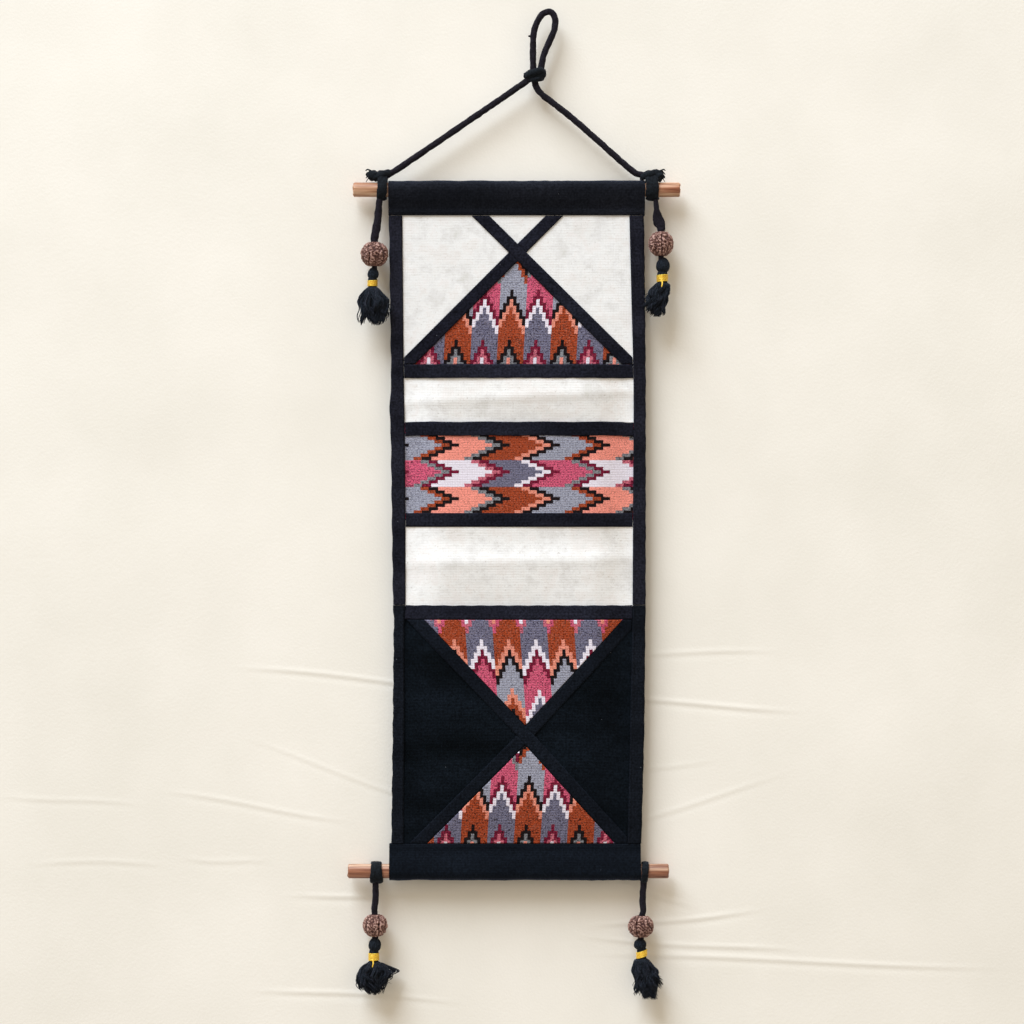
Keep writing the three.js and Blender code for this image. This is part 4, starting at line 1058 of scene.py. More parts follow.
def skirt(size, y, seed):
    """Skirt of a tassel: curly locks of yarn that leave the shoulder, fan out and hang down. The locks' roots
    fill a disc by the golden angle, and so do the threads inside each lock, which wind round its middle. Each
    lock has its own length and bends, and each thread its own cut end. Where the skirt is airy, on its right
    side, more threads stray and the locks are shorter"""
    tassel = bpy.context.scene.hanging_tassel
    radius, wander = tassel.radius / MM, tassel.wander / MM
    rng = np.random.default_rng(seed)
    locks, rows = tassel.locks, 20
    each = tassel.strands // locks
    golden = math.pi * (3 - math.sqrt(5))
    lock = np.arange(locks)[:, None, None]
    along = np.linspace(0, 1, rows)[None, None, :]
    out = np.sqrt((lock + 0.5) / locks)
    way = lock * golden + size["turn"]
    aim_x, aim_y = out * np.cos(way), out * np.sin(way)
    airy = size["airy"] * np.clip(aim_x, 0, 1)
    length = size["length"] * (1.0 - 0.24 * out ** 2 + 0.12 * rng.normal(size=(locks, 1, 1)))
    length = length * (1 - size["slope"] * aim_x - 0.25 * airy)
    length = np.clip(length, size["length"] * 0.5, size["length"])
    root, thick_lock = size["tie_size"][0] / 2 + 0.4, size["spread"] * 0.26
    eased = 1 - (1 - along) ** size["ease"]
    bow = 1 + 0.14 * (size["ease"] - 1.6) * np.sin(math.pi * np.clip(along * 1.2, 0, 1))
    bow = bow * (1 + 0.14 * rng.normal(size=(locks, 1, 1)) * along)
    wide = (root + (size["spread"] - thick_lock * 0.6 - root) * eased) * bow
    deep = (root + (size["depth"] - thick_lock * 0.4 - root) * eased) * bow
    bends = [
        np.sin(along * rng.uniform(5.0, 10.0, size=(locks, 1, 1)) + rng.uniform(0, 6.3, size=(locks, 1, 1)))
        for _ in range(2)
    ]
    sway = 3.2 * wander * along
    middle_x = size["tie"][0] + size["lean"] * along ** 1.2 + wide * aim_x + sway * bends[0]
    middle_y = y + size["lean_front"] * along + deep * aim_y + 0.7 * sway * bends[1]

    thread = np.arange(each)[None, :, None]
    spread = np.sqrt((thread + 0.5) / each)
    turn = thread * golden + along * rng.uniform(-3.5, 3.5, size=(locks, 1, 1))
    full = thick_lock * (0.25 + 0.75 * np.sin(math.pi * np.clip(0.12 + along * 0.66, 0, 1)))
    loose = np.where(rng.uniform(size=(locks, each, 1)) < size["frizz"] + 0.4 * airy, 1.2, 0.0)
    full = full * (1 + (0.25 * rng.normal(size=(locks, each, 1)) + loose) * along)
    curl = np.sin(along * 14 + 6.3 * rng.uniform(size=(locks, each, 1)))
    x = middle_x + full * spread * np.cos(turn) + (0.5 + loose) * wander * along * curl
    depth = middle_y + 0.8 * full * spread * np.sin(turn)
    reach = length * (1 - 0.1 * spread ** 2 + 0.05 * rng.normal(size=(locks, each, 1)))
    z = size["tie"][1] - size["tie_size"][1] / 2 - 1.4 - np.minimum(reach, size["length"] * 1.02) * along
    thick = radius * np.sin(math.pi * along) ** 0.25
    thick = np.where((along == 0) | (along == 1), 0, thick) * rng.uniform(0.8, 1.3, size=(locks, each, 1))
    corner = (2 * math.pi * np.arange(3) / 3) + (thread * golden)[..., None]
    points = np.stack(np.broadcast_arrays(
        x[..., None] + thick[..., None] * np.cos(corner),
        depth[..., None] + thick[..., None] * np.sin(corner),
        z[..., None]), -1)
    one = grid_faces(rows, 3, round_columns=True)
    faces = (one[None] + (np.arange(locks * each) * rows * 3)[:, None, None]).reshape(-1, 4)
    return points.reshape(-1, 3), faces


def gold_tie(size, y):
    """Gold thread wound close round the neck as one helix, on two of the tassels with a loose end below"""
    (x, z), (wide, tall) = size["tie"], size["tie_size"]
    radius = 0.44
    turns = int((tall - 2 * radius) / (1.9 * radius))
    around = np.linspace(0, 2 * math.pi * turns, 30 * turns)
    reach = wide / 2 - 0.35 + 0.1 * np.sin(around * 0.37)
    angle = around + size["turn"]
    helix = np.stack([
        x + reach * np.cos(angle),
        y + reach * np.sin(angle),
        z + tall / 2 - radius - (tall - 2 * radius) * np.linspace(0, 1, len(around)) + 0.3 * np.cos(angle),
    ], 1)
    helix[:, 2] += size["tilt"] * (helix[:, 0] - x)
    wound = tube(helix, radius, radius, (0, 0, 1), 8)
    if not size["loose"]:
        return wound
    front, low = y - wide / 2, z - tall / 2
    end = [[x - 0.6, front, low + 1.0], [x - 0.2, front - 1.2, low - 1.2], [x - 0.8, front - 2.4, low - 4.0]]
    return joined([wound, loose_thread(end, 0.7, 7)])


def turned_dowel(size, seed):
    """Round bar along X with softly rounded ends and slightly uneven sides, closed at both ends. Its profile
    runs from the middle of one end over its rounded edge and along the side to the other end"""
    half = size["length"] / 2
    bend = np.linspace(0, math.pi / 2, 8)
    rounding = 1.4
    flat_reach, straight = DOWEL_RADIUS - rounding, half - rounding
    flat = np.stack([np.linspace(0, flat_reach, 6)[:-1], np.full(5, half)], 1)
    cap = np.stack([flat_reach + rounding * np.sin(bend), straight + rounding * np.cos(bend)], 1)
    middle = np.stack([np.full(90, DOWEL_RADIUS), np.linspace(straight, -straight, 92)[1:-1]], 1)
    one_end = np.concatenate([flat, cap])
    profile = np.concatenate([one_end, middle, one_end[::-1] * [1, -1]])
    radius, along = profile[:, :1], profile[:, 1:]
    around = angles_round(80)
    uneven = waves(seed, 30.0, dimensions=3)
    radius = radius * (
        1 + 0.008 * uneven(along * 0.4, DOWEL_RADIUS * np.cos(around), DOWEL_RADIUS * np.sin(around)))
    rough = 0.25 * waves(seed + 1, 5.0)(radius, 3 * around) * (radius < DOWEL_RADIUS - 0.8)
    return surface(
        size["x"] + along + rough, radius * np.cos(around), size["z"] + radius * np.sin(around),
        round_columns=True,
    )


def binding(name, side, top, foot):
    """Binding folded round one side edge: its front leaf with a rolled ridge beside the inner edge, the
    rounded rim and its rear leaf, as one surface from edge to edge, with the distance out from the inner edge
    and the level given along the way"""
    z = row_heights(top, foot, 2.6)[:, None]
    leaf = table(EDGES, z, LEFT_INNER if side < 0 else RIGHT_INNER)
    rim = table(EDGES, z, LEFT_OUTER if side < 0 else RIGHT_OUTER)
    reach = np.abs(rim - leaf)
    soft = 1.7
    flat = reach - soft
    share = np.array([0, 0.04, 0.09, 0.14, 0.19, 0.24, 0.34, 0.5, 0.7, 0.86])[None, :]
    turn = np.linspace(0, math.pi / 2, 8)[None, :]
    front = share * flat
    # The rear leaf ends 1 mm short of the front one
    out = np.concatenate([
        front, flat + soft * np.sin(turn), flat + soft * np.cos(turn),
        flat * (1 - share[:, 1:]) + share[:, 1:], 1.0 + 0 * reach,
    ], 1)
    level = np.concatenate([
        BINDING_FRONT - 0.55 * np.exp(-front / 0.7) + 0.5 * bump(front, 1.3, 0.6),
        BINDING_FRONT - soft + soft * np.cos(turn) + 0 * z,
        soft - BINDING_FRONT - soft * np.sin(turn) + 0 * z, -BINDING_FRONT + 0 * share * z,
    ], 1)
    seed = seed_of(name)
    wobble = waves(seed, 24.0, dimensions=1)(z) + 0.6 * waves(seed + 1, 9.0, dimensions=1)(z)
    out = out + 0.16 * wobble * smooth(out / reach)
    level = level + 0.14 * waves(seed + 2, 14.0)(out, z) * (out < flat)
    piece = make(
        name, "fold", surface(leaf + side * out + PANEL_X, -level, z),
        finish("lower binding" if "lower" in name else "binding"), outward=(side, 0, 0),
    )
    thicken(piece, CLOTH)


def mouth_tape(name, mouth, rows):
    """Tape folded over a pocket's mouth: up its front leaf, over the fold as half a circle, and just behind
    the cloth's top edge. The levels ride on the pocket front"""
    fold = (TAPE_FRONT - GAP) / 2
    turn = np.linspace(0, math.pi, 9)
    foot = mouth - MOUTH_TAPE
    up = np.concatenate([foot + RIM[:5], np.linspace(foot + RIM[-1], mouth - fold - 0.6, 6)])
    at_z = np.concatenate([up, mouth - fold + fold * np.sin(turn)])[:, None]
    turned = np.clip(1 - (up - foot) / 1.4, 0, 1)
    level = np.concatenate([
        TAPE_FRONT - 0.5 * (1 - np.sqrt(1 - turned ** 2)), GAP + fold + fold * np.cos(turn),
    ])[:, None]
    x = stations(between_left(at_z), between_right(at_z), 2.2)
    seed = seed_of(name)
    sway = 0.35 * waves(seed, 46.0, dimensions=1)(x) + 0.15 * waves(seed + 1, 15.0, dimensions=1)(x)
    depth = pocket_out(rows, x, at_z) + level + 0.12 * waves(seed + 2, 16.0)(x, at_z)
    shape = surface(x + PANEL_X, -depth, at_z + sway * 0.6)
    piece = make(name, "fold", shape, finish("tape"), outward=(0, -1, 0))
    thicken(piece, TAPE)


def casing(name, left, right, dowel, hem, up):
    """Casing wrapped round a dowel: from its front hem over the dowel and down to its rear hem, with a soft
    ridge beside each hem. `up` is 1 where it wraps the dowel from above and -1 from below"""
    radius = DOWEL_RADIUS + GAP + CLOTH
    wrap = np.radians(np.linspace(-108, 108, 40))
    leaf = abs(hem - dowel)
    front = [
        [-BINDING_FRONT, -leaf], [-BINDING_FRONT, -leaf + 2], [-BINDING_FRONT - 0.15, -leaf + 4.5],
        [-4.3, -leaf + 8.5], [-5.8, -leaf + 12.5],
    ]
    rear = [[-y, z] for y, z in front[::-1]]
    arc = np.stack([radius * np.sin(wrap), radius * np.cos(wrap)], 1)
    line = np.concatenate([front, arc[2:-2:3], rear])
    path = curve_through(np.insert(line, 0, 0.0, axis=1), 96)
    along = distance_along(path)[:, None]
    across = stations(np.full((1, 1), left), np.full((1, 1), right), 1.8)
    seed = seed_of(name)
    puff = 0.2 * waves(seed, 26.0)(across, along * 0.5) + 0.1 * waves(seed + 1, 8.0)(across, along * 0.35)
    from_hem = np.minimum(along, along[-1] - along)
    puff = puff * smooth(from_hem / 5) + 0.3 * bump(from_hem, 3.2, 1.3) - 0.6 * np.exp(-from_hem / 0.6)
    tangent = np.gradient(path, axis=0)
    tangent /= np.linalg.norm(tangent, axis=1, keepdims=True)
    normal = np.stack([-tangent[:, 2], tangent[:, 1]], 1)
    y = path[:, 1:2] + normal[:, :1] * puff
    z = dowel + up * (path[:, 2:] + normal[:, 1:] * puff)
    kind = "casing" if up > 0 else "bottom casing"
    piece = make(
        name, "fold", surface(across + PANEL_X, y, z), finish(kind), outward=(0, 0, up),
    )
    thicken(piece, CLOTH)


def cross_tapes(prefix, cross, top, foot, out, kind):
    """The cross's tapes: the falling one whole, and the rising one in two lengths, whose ends are tucked
    0.3 mm under the falling tape's rolled edges"""
    middle, clear = float(cross[1, 0]), TAPE_REACH - 0.3
    fall, rise = cross_lines(cross)
    lengths = {
        "falling": (
            top, foot, lambda z: np.maximum(fall(z) - TAPE_REACH, between_left(z)),
            lambda z: np.minimum(fall(z) + TAPE_REACH, between_right(z)),
        ),
        "rising_upper": (
            top, middle + 0.1, lambda z: np.maximum(rise(z) - TAPE_REACH, fall(z) + clear),
            lambda z: np.minimum(rise(z) + TAPE_REACH, between_right(z)),
        ),
        "rising_lower": (
            middle - 0.1, foot, lambda z: np.maximum(rise(z) - TAPE_REACH, between_left(z)),
            lambda z: np.minimum(rise(z) + TAPE_REACH, fall(z) - clear),
        ),
    }
    roll = bpy.context.scene.hanging_cloth.roll / MM
    for word, (start, end, left, right) in lengths.items():
        cloth_piece(
            f"{prefix}_tape_{word}", kind, start, end, left, right, TAPE_FRONT, TAPE, out,
            roll=roll, slant=TAPE_SLANT, pitch=1.5, strip=10.1,
        )


# The flame cloth's directions: weights of x, z and 1 for the way across the lanes and the way of the flames.
# The lanes of the triangles lean by a few hundredths, as cut
BAND_ACROSS, BAND_ALONG = (0.0, -1.0, -335.3), (1.0, 0.0, 72.4 - 0.3)
HEADER_ACROSS, HEADER_ALONG = (1.0, -0.054, 38.9 - 0.054 * 220 + 425), (0.0, 1.0, 300.6 + 0.3)
LOWER_ACROSS, LOWER_ALONG = (1.0, -0.063, 25.0 - 0.063 * 609.2 + 426), (0.0, 1.0, 687.8)
HANGING_ACROSS, HANGING_ALONG = (1.0, 0.07, 44.7 + 0.07 * 500 + 435), (0.0, 1.0, 575.0)

# Each finish: the function that makes it and what it is given
FINISHES = {
    "panel": (black_cotton, "plain-woven black cotton", "#14161d", "#20222c", 1.3),
    # The lowest pocket's cotton has the widest range of streaks: uneven dye and painted sheen bands
    "pocket": (black_cotton, "black cotton, pressed flat", "#020609", "#151d26", 1.2, 0.02),
    "binding": (black_cotton, "black cotton binding", "#1a1b24", "#2e2f3b", 1.25),
    "lower binding": (black_cotton, "black cotton binding, less worn", "#11151c", "#1d222b", 1.25),
    "tape": (black_cotton, "folded black cotton tape", "#181923", "#2b2d3a", 1.2),
    "lower tape": (black_cotton, "folded black cotton tape, worn smooth", "#0e131b", "#1b212b", 1.2),
    "casing": (black_cotton, "black cotton casing", "#121419", "#202229", 1.3, 0.4),
    # A darker, bluer copy of the casing's cotton: painted shade for the casing that wraps the dowel from
    # below, and the window's blue light painted in
    "bottom casing": (black_cotton, "black cotton casing, blue in the light", "#080d13", "#141b24", 1.3, 0.4),
    "cream": (cream_cotton, "undyed cream cotton", 1.0),
    "header cream": (cream_cotton, "undyed cream cotton, in the shade of the casing", 0.94),
    "flame band": (
        flame_weave, "flame weave of the band", BAND_ACROSS, BAND_ALONG, 21.45, 5.55, 3, (LANE_A, LANE_B),
        120.9,
    ),
    "flame header": (
        flame_weave, "flame weave of the header", HEADER_ACROSS, HEADER_ALONG, 21.25, 5.3, 3,
        (LANE_A, LANE_B), 120.9,
    ),
    "flame lower": (
        flame_weave, "flame weave of the standing triangle", LOWER_ACROSS, LOWER_ALONG, 21.3, 5.2, 3,
        (LANE_A, LANE_B), 117.9,
    ),
    "flame hanging": (
        flame_weave, "flame weave of the hanging triangle", HANGING_ACROSS, HANGING_ALONG, 21.75, 5.2, 4,
        (HANGING_A[::-1], HANGING_B[::-1]), 120.0,
    ),
    "pale wood": (bare_wood, "bare pale wood", "pale", "#80523c", "#a47656", "#e8caac"),
    "red wood": (bare_wood, "bare reddish wood", "red", "#6e4a37", "#9a735a", "#e0c4a9"),
    "cord": (soft_black, "soft black cotton cord", "#0f0d12", "#25222b", 700.0, 0.14),
    "tied cord": (soft_black, "soft black cotton cord, tied", "#0a0c10", "#1c2228", 700.0, 0.12),
    "yarn": (soft_black, "soft black cotton yarn", "#090c11", "#28303a", 900.0, 0.14),
    "gold": (gold_thread,),
    "wall": (wall_cloth,),
    "floor": (pale_floor,),
}


@functools.lru_cache(maxsize=None)
def finish(kind):
    """The material of one finish, made once"""
    function, *values = FINISHES[kind]
    return function(*values)


# Wrinkles of the wall's cloth beside the hanging: x and z of one end, of the other end, and the height
WRINKLES = [
    (-262, -522, -60, -541, 0.7), (-255, -577, -60, -646, 0.4), (-320, -622, -150, -648, 0.5),
    (-452, -625, -320, -635, 0.35), (-426, -680, -300, -681, 0.35), (-302, -676, -222, -681, 0.35),
    (-220, -708, -60, -704, 0.7), (-252, -781, -60, -793, 0.7), (10, -512, 196, -511, 0.5),
    (10, -547, 214, -558, 0.8), (10, -616, 144, -595, 0.35), (10, -664, 200, -607, 0.5),
    (20, -684, 124, -718, 0.7), (20, -734, 180, -718, 0.8), (10, -739, 215, -753, 0.7),
    (10, -754, 380, -765, 0.7),
]


def wrinkle(x, z, start_x, start_z, end_x, end_z, high):
    """Height of one wrinkle: a narrow ridge with a shallow valley under it, which winds a little and fades
    out at both ends"""
    way = (x - start_x) / (end_x - start_x)
    off = z - start_z - (end_z - start_z) * way - 1.4 * np.sin(6.0 * way + start_z)
    ridge = bump(off, 0.0, 1.7) - 0.5 * bump(off, -3.4, 2.6)
    return high * ridge * smooth(way * 3) * smooth((1 - way) * 3)


def stage_piece(name, shape, outward):
    """Part of the stage, which throws no shadow on the hanging"""
    piece = new_object(name, *shape, finish(name), outward)
    piece.visible_shadow = False
    return piece


class HANGING_OT_stage(bpy.types.Operator):
    """Camera straight before the hanging, the cloth wall behind it, the floor below it, and soft light"""

    bl_idname = "hanging.stage"
    bl_label = "Camera, wall and light"

    def execute(self, context):
        stage = context.scene.hanging_stage
        middle_x, middle_z = -29.7 * MM, -398.2 * MM
        lens = bpy.data.cameras.new("straight view")
        lens.sensor_width = 36.0
        lens.lens = lens.sensor_width * stage.distance / stage.width
        lens.clip_end = 50.0
        camera = bpy.data.objects.new("camera", lens)
        camera.location = (middle_x, -stage.distance - 0.005, middle_z)
        camera.rotation_euler = (math.pi / 2, 0.0, 0.0)
        context.scene.collection.objects.link(camera)
        context.scene.camera = camera

        # The wall's grid is fine only where its wrinkles show
        wall_y, floor_z, side = stage.wall / MM, -1499.0, 1600
        x = np.concatenate([
            np.linspace(-side, -460, 10), np.linspace(-450, 360, 280), np.linspace(370, side, 12)])[None, :]
        z = np.concatenate([
            np.linspace(900, 20, 16), np.linspace(0, -490, 80), np.linspace(-494, -800, 204),
            np.linspace(-810, -1500, 12)])[:, None]
        folds = 0.5 * waves(5, 420.0)(x * 0.5, z * 1.6) + 0.3 * waves(6, 150.0)(x * 0.4, z * 1.3)
        ridges = sum(wrinkle(x, z, *line) for line in WRINKLES)
        depth = wall_y - 0.5 * np.clip(folds + ridges, -1.6, 1.4) + 0.8
        wall = stage_piece("wall", surface(x, depth, z), (0, -1, 0))
        x, out = np.linspace(-side, side, 40)[None, :], np.linspace(1, 2600, 40)[:, None]
        floor = stage_piece("floor", surface(x, wall_y - out, floor_z), (0, 0, 1))
        # The floor throws no light back, as the pale floor of a large room would at this distance
        floor.visible_diffuse = False

        window = self.add_light(context, "window light", (-2.43, -2.83, 5.54), stage.key, 4.2)
        window.color = linear("#e8f2ff")
        self.add_light(context, "rear fill", (-0.8, 2.4, 0.6), 40.0, 1.6)
        world = bpy.data.worlds.new("pale room")
        world.use_nodes = True
        tree = world.node_tree
        background = tree.nodes["Background"]
        background.inputs["Color"].default_value = rgba("#fff0dc")
        # A room's light is stronger from above than from below
        split = node(tree, "SeparateXYZ", {0: node(tree, "TexCoord").outputs["Object"]})
        strength = node(tree, "MapRange", {
            "Value": split.outputs["Z"], "From Min": -0.6, "From Max": 0.6, "To Min": 0.37, "To Max": 0.78,
        })
        tree.links.new(output_of(strength), background.inputs["Strength"])
        context.scene.world = world
        context.scene.view_settings.view_transform = "Standard"
        return {"FINISHED"}

    def add_light(self, context, name, place, power, size):
        """Square light turned from its place to the hanging's middle; gives its data"""
        data = bpy.data.lights.new(name, "AREA")
        data.energy, data.size = power, size
        light = bpy.data.objects.new(name, data)
        light.location = place
        way = np.array([-0.0297, 0.0, -0.3982]) - np.array(place)
        level = math.hypot(way[0], way[1])
        light.rotation_euler = (math.pi / 2 + math.atan2(way[2], level), 0.0, math.atan2(-way[0], way[1]))
        context.scene.collection.objects.link(light)
        return data


class HANGING_OT_tassels(bpy.types.Operator):
    """The four tassels, each with its cord, seed bead, wound yarn and gold thread"""

    bl_idname = "hanging.tassels"
    bl_label = "Tassels and beads"

    def execute(self, context):
        for number, (name, size) in enumerate(TASSELS.items()):
            seed, y = 100 + 10 * number, size["y"]
            (x, z), (wide, tall), bore = size["bead"], size["bead_size"], size["bore"]
            material = dried_seed(f"dried seed, {name.replace('_', ' ')}", (x, y, z), (wide, wide, tall))
            shape = seed_bead((x, y, z), (wide, tall), size["turn"])
            bead = make(f"bead_{name}", "seed", shape, material)
            shape = joined([tassel_head(size, y), tassel_neck(size, y), skirt(size, y, seed + 1)])
            yarn = make(f"tassel_{name}", "yarn", shape, finish("yarn"))
            gold = make(f"tie_{name}", "thread", gold_tie(size, y), finish("gold"))
            cord_x, cord_top = size["cord"]
            head_top = size["head"][1] + size["head_size"][1] / 2
            route = [
                [cord_x, cord_top], [cord_x + (x - cord_x) * 0.4, cord_top - (cord_top - z) * 0.4],
                [x + 1.8 * bore, z + tall / 2 + 3], [x + bore, z + tall / 2], [x, z], [x, z - tall / 2],
                [x, head_top - 2],
            ]
            cord_piece(
                f"tassel_cord_{name}", route, seed + 5, y, size["widths"],
            )
        return {"FINISHED"}


class HANGING_OT_sling(bpy.types.Operator):
    """The hanging loop, the two legs and their knot"""

    bl_idname = "hanging.sling"
    bl_label = "Sling"

    def execute(self, context):
        knot = make("sling_knot", "wrap", sling_knot(), finish("tied cord"))
        nub = blob((-15.6, -1.0, -17.0), (2.4, 1.8, 1.6), 59, rows=10, columns=14)
        cord_piece("sling_loop", LOOP_ROUTE, 61, more=[nub])
        cord_piece("sling_leg_left", LEFT_LEG_ROUTE[::-1], 63)
        cord_piece("sling_leg_right", RIGHT_LEG_ROUTE[::-1], 65)
        return {"FINISHED"}


class HANGING_OT_panel(bpy.types.Operator):
    """The backing and the bindings folded round its two sides"""

    bl_idname = "hanging.panel"
    bl_label = "Backing and bindings"

    def execute(self, context):
        cloth_piece(
            "back_panel", "panel", -152.0, -672.0, held_left, held_right, 0.0, 1.5, pitch=4.0,
        )
        for word, side in (("left", -1), ("right", 1)):
            binding(f"side_binding_{word}_upper", side, HEM_TOP - GAP, FOOT_B)
            binding(f"side_binding_{word}_lower", side, MOUTH_C, FOOT_C)
        return {"FINISHED"}


class HANGING_OT_header(bpy.types.Operator):
    """The header: three cream pieces and the flame triangle between the tapes of a cross"""

    bl_idname = "hanging.header"
    bl_label = "Header"

    def execute(self, context):
        foot, middle = MOUTH_A + GAP, float(HEADER_CROSS[1, 0])
        # From a cloth's edge to the tape's centreline above it, level and upright
        apart, clear = 0.4, 1.2
        fall, rise = cross_lines(HEADER_CROSS)
        creams = {
            "left": (foot, held_left, lambda z: np.minimum(fall(z), rise(z)) - apart),
            "top": (middle + clear, lambda z: fall(z) + apart, lambda z: rise(z) - apart),
            "right": (foot, lambda z: np.maximum(fall(z), rise(z)) + apart, held_right),
        }
        for word, (end, left, right) in creams.items():
            cloth_piece(
                f"cream_header_{word}", "header cream", HEADER_TOP, end, left, right,
                CLOTH_FRONT, CLOTH, slant=SLANT,
            )
        cloth_piece(
            "flame_header", "flame header", middle - clear, foot - TUCK,
            tucked(lambda z: rise(z) + apart, foot, -TUCK_HALF),
            tucked(lambda z: fall(z) - apart, foot, TUCK_HALF), CLOTH_FRONT, CLOTH, slant=SLANT,
        )
        cross_tapes("header", HEADER_CROSS, HEM_TOP - GAP, foot, None, "tape")
        return {"FINISHED"}


class HANGING_OT_pockets(bpy.types.Operator):
    """The three pocket fronts, the tapes over their mouths and the tape across the middle one"""

    bl_idname = "hanging.pockets"
    bl_label = "Pockets"

    def execute(self, context):
        sag_a, sag_b, sag_c = waves(21, 70.0), waves(22, 85.0), waves(23, 60.0)
        under_fold = TAPE + GAP
        fronts = (
            ("cream_pocket_a", "cream", "cream_cloth", MOUTH_A - under_fold, FOOT_A, POCKET_A,
             lambda x, z: 0.5 * sag_a(x * 0.6, z) + 0.7 * bump(z - 0.05 * x, -306.0, 4.5)),
            ("flame_band", "flame band", "flame_weave", MOUTH_B - under_fold, BAND_SEAM + GAP / 2, POCKET_B,
             lambda x, z: 0.3 * sag_b(x * 0.6, z)),
            ("cream_pocket_b", "cream", "cream_cloth", BAND_SEAM - GAP / 2, FOOT_B, POCKET_B,
             lambda x, z: 0.5 * sag_b(x * 0.5, z) + 0.5 * bump(z - 0.03 * x, -437.0, 5.0)),
            ("black_pocket_c", "pocket", "black_cloth", MOUTH_C - under_fold, FOOT_C, POCKET_C,
             lambda x, z: 0.6 * sag_c(x * 0.6, z)),
        )
        for name, kind, slot, top, foot, rows, crease in fronts:
            left, right, extra = held_left, held_right, ()
            if kind == "cream":
                left, right = tucked(left, foot, -TUCK_HALF), tucked(right, foot, TUCK_HALF)
                extra = (foot - TUCK_STEP + 0.05, foot - TUCK_STEP - 0.05)
                foot -= TUCK
            cloth_piece(
                name, kind, top, foot, left, right, CLOTH_FRONT, CLOTH, rows, crease=crease,
                extra=extra,
            )
        cloth_piece(
            "band_tape", "tape", BAND_FOOT, CREAM_TOP, between_left, between_right, TAPE_FRONT,
            TAPE, POCKET_B, roll=context.scene.hanging_cloth.roll / MM, pitch=1.8,
        )
        mouth_tape("mouth_tape_a", MOUTH_A, POCKET_A)
        mouth_tape("mouth_tape_b", MOUTH_B, POCKET_B)
        mouth_tape("mouth_tape_c", MOUTH_C, POCKET_C)
        return {"FINISHED"}


class HANGING_OT_lower_cross(bpy.types.Operator):
    """The lowest pocket's cross of tape and its two flame triangles"""

    bl_idname = "hanging.lower_cross"
    bl_label = "Lower cross"

    def execute(self, context):
        top, foot, middle = MOUTH_C - MOUTH_TAPE - GAP, HEM_BOTTOM + GAP, float(LOWER_CROSS[1, 0])
        reach = TAPE_REACH + TAPE_GAP
        tip = reach + 0.8
        cross_tapes("lower", LOWER_CROSS, top, foot, POCKET_C, "lower tape")
        fall, rise = cross_lines(LOWER_CROSS)
        triangles = {
            "top": (
                "flame hanging", top, middle + tip, lambda z: fall(z) + reach, lambda z: rise(z) - reach,
            ),
            "bottom": (
                "flame lower", middle - tip, foot, lambda z: rise(z) + reach, lambda z: fall(z) - reach,
            ),
        }
        for word, (kind, start, end, left, right) in triangles.items():
            cloth_piece(
                f"flame_lower_{word}", kind, start, end, left, right, TAPE_FRONT, TAPE,
                POCKET_C, roll=0.4, slant=SLANT,
            )
        return {"FINISHED"}


class HANGING_OT_casings(bpy.types.Operator):
    """The casings that hold the two dowels"""

    bl_idname = "hanging.casings"
    bl_label = "Casings"

    def execute(self, context):
        casing("casing_top", -102.7, 102.7, TOP_DOWEL["z"], HEM_TOP, 1)
        casing("casing_bottom", -102.0, 99.4, BOTTOM_DOWEL["z"], HEM_BOTTOM, -1)
        return {"FINISHED"}


class HANGING_OT_dowels(bpy.types.Operator):
    """The two wooden dowels"""

    bl_idname = "hanging.dowels"
    bl_label = "Dowels"

    def execute(self, context):
        make("dowel_top", "wood", turned_dowel(TOP_DOWEL, 71), finish("pale wood"))
        make("dowel_bottom", "wood", turned_dowel(BOTTOM_DOWEL, 75), finish("red wood"))
        return {"FINISHED"}


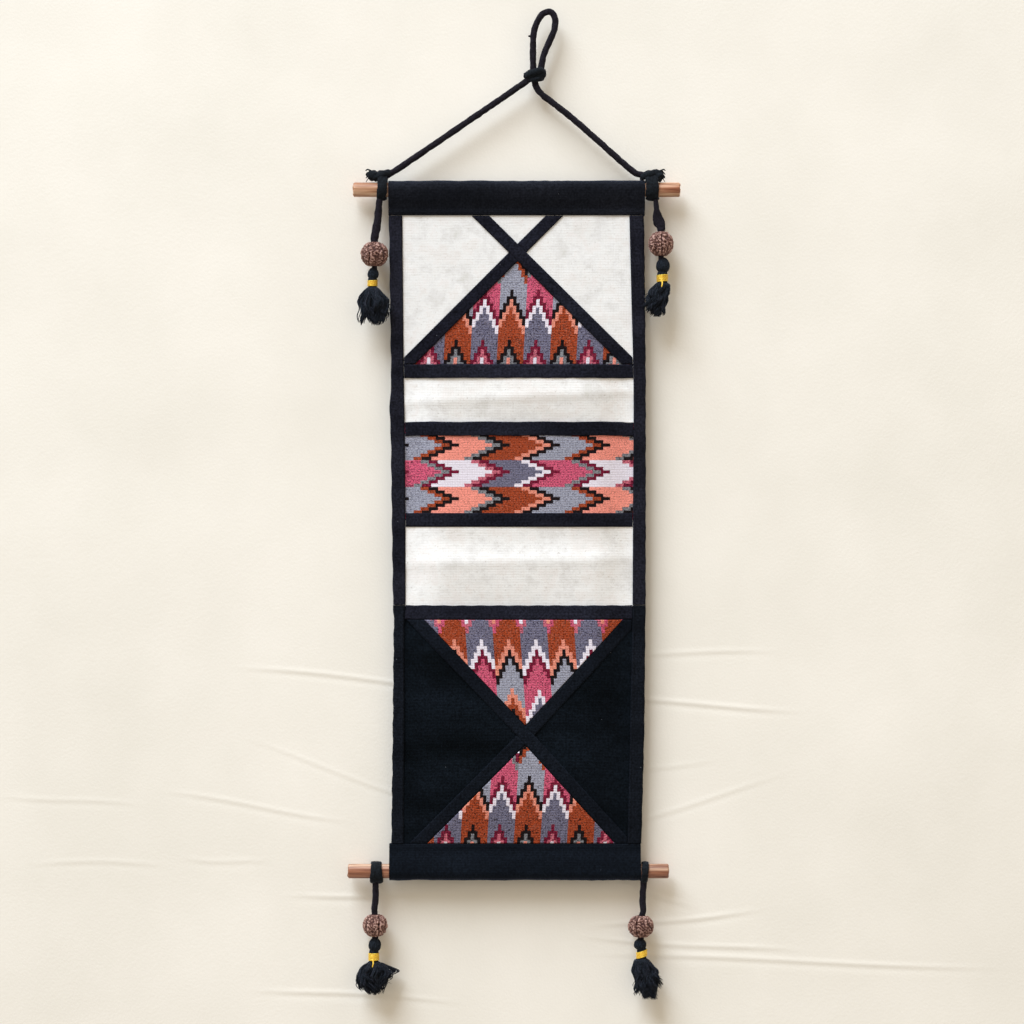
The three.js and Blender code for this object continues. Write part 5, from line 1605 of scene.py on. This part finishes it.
class HANGING_OT_dowel_ties(bpy.types.Operator):
    """The hitches on the top dowel and the turns of cord on the bottom one"""

    bl_idname = "hanging.dowel_ties"
    bl_label = "Hitches and turns"

    def execute(self, context):
        top, bottom = TOP_DOWEL["z"], BOTTOM_DOWEL["z"]
        shapes = {
            "hitch_left": hitch(-133.7, 7.4, -133.6, -141.0, 8.8, top, 81, 0.6),
            "hitch_right": hitch(82.4, 9.8, 80.0, 87.2, 10.0, top, 87, -0.4),
            "wrap_bottom_left": dowel_wrap([(-1.7, 6.0), (1.7, 6.0)], -138.4, bottom, 93),
            "wrap_bottom_right": dowel_wrap([(0.0, 5.2)], 76.4, bottom, 97),
        }
        for name, shape in shapes.items():
            make(name, "turns", shape, finish("tied cord"))
        return {"FINISHED"}


class HANGING_PT_pieces(bpy.types.Panel):
    """Lists the pieces and their settings"""

    bl_label = "Pocket wall hanging"
    bl_idname = "HANGING_PT_pieces"
    bl_space_type = "VIEW_3D"
    bl_region_type = "UI"
    bl_category = "Hanging"

    def draw(self, context):
        for operator in OPERATORS:
            self.layout.operator(operator.bl_idname)
        for name, settings in SETTINGS.items():
            for key in settings.__annotations__:
                self.layout.prop(getattr(context.scene, name), key)


OPERATORS = [
    HANGING_OT_stage, HANGING_OT_tassels, HANGING_OT_sling, HANGING_OT_panel, HANGING_OT_header,
    HANGING_OT_pockets, HANGING_OT_lower_cross, HANGING_OT_casings, HANGING_OT_dowels, HANGING_OT_dowel_ties,
]
SETTINGS = {
    "hanging_cloth": ClothSettings,
    "hanging_flame": FlameSettings,
    "hanging_cord": CordSettings,
    "hanging_bead": BeadSettings,
    "hanging_tassel": TasselSettings,
    "hanging_dowel": DowelSettings,
    "hanging_stage": StageSettings,
}


def register():
    for kind in [*SETTINGS.values(), *OPERATORS, HANGING_PT_pieces]:
        bpy.utils.register_class(kind)
    for name, settings in SETTINGS.items():
        setattr(bpy.types.Scene, name, bpy.props.PointerProperty(type=settings))


def unregister():
    for name in SETTINGS:
        delattr(bpy.types.Scene, name)
    for kind in reversed([*SETTINGS.values(), *OPERATORS, HANGING_PT_pieces]):
        bpy.utils.unregister_class(kind)


def main():
    register()
    for operator in OPERATORS:
        call = getattr(bpy.ops.hanging, operator.bl_idname.split(".")[1])
        if call() != {"FINISHED"}:
            raise RuntimeError(f"{operator.bl_label} did not finish")


if __name__ == "__main__":
    main()
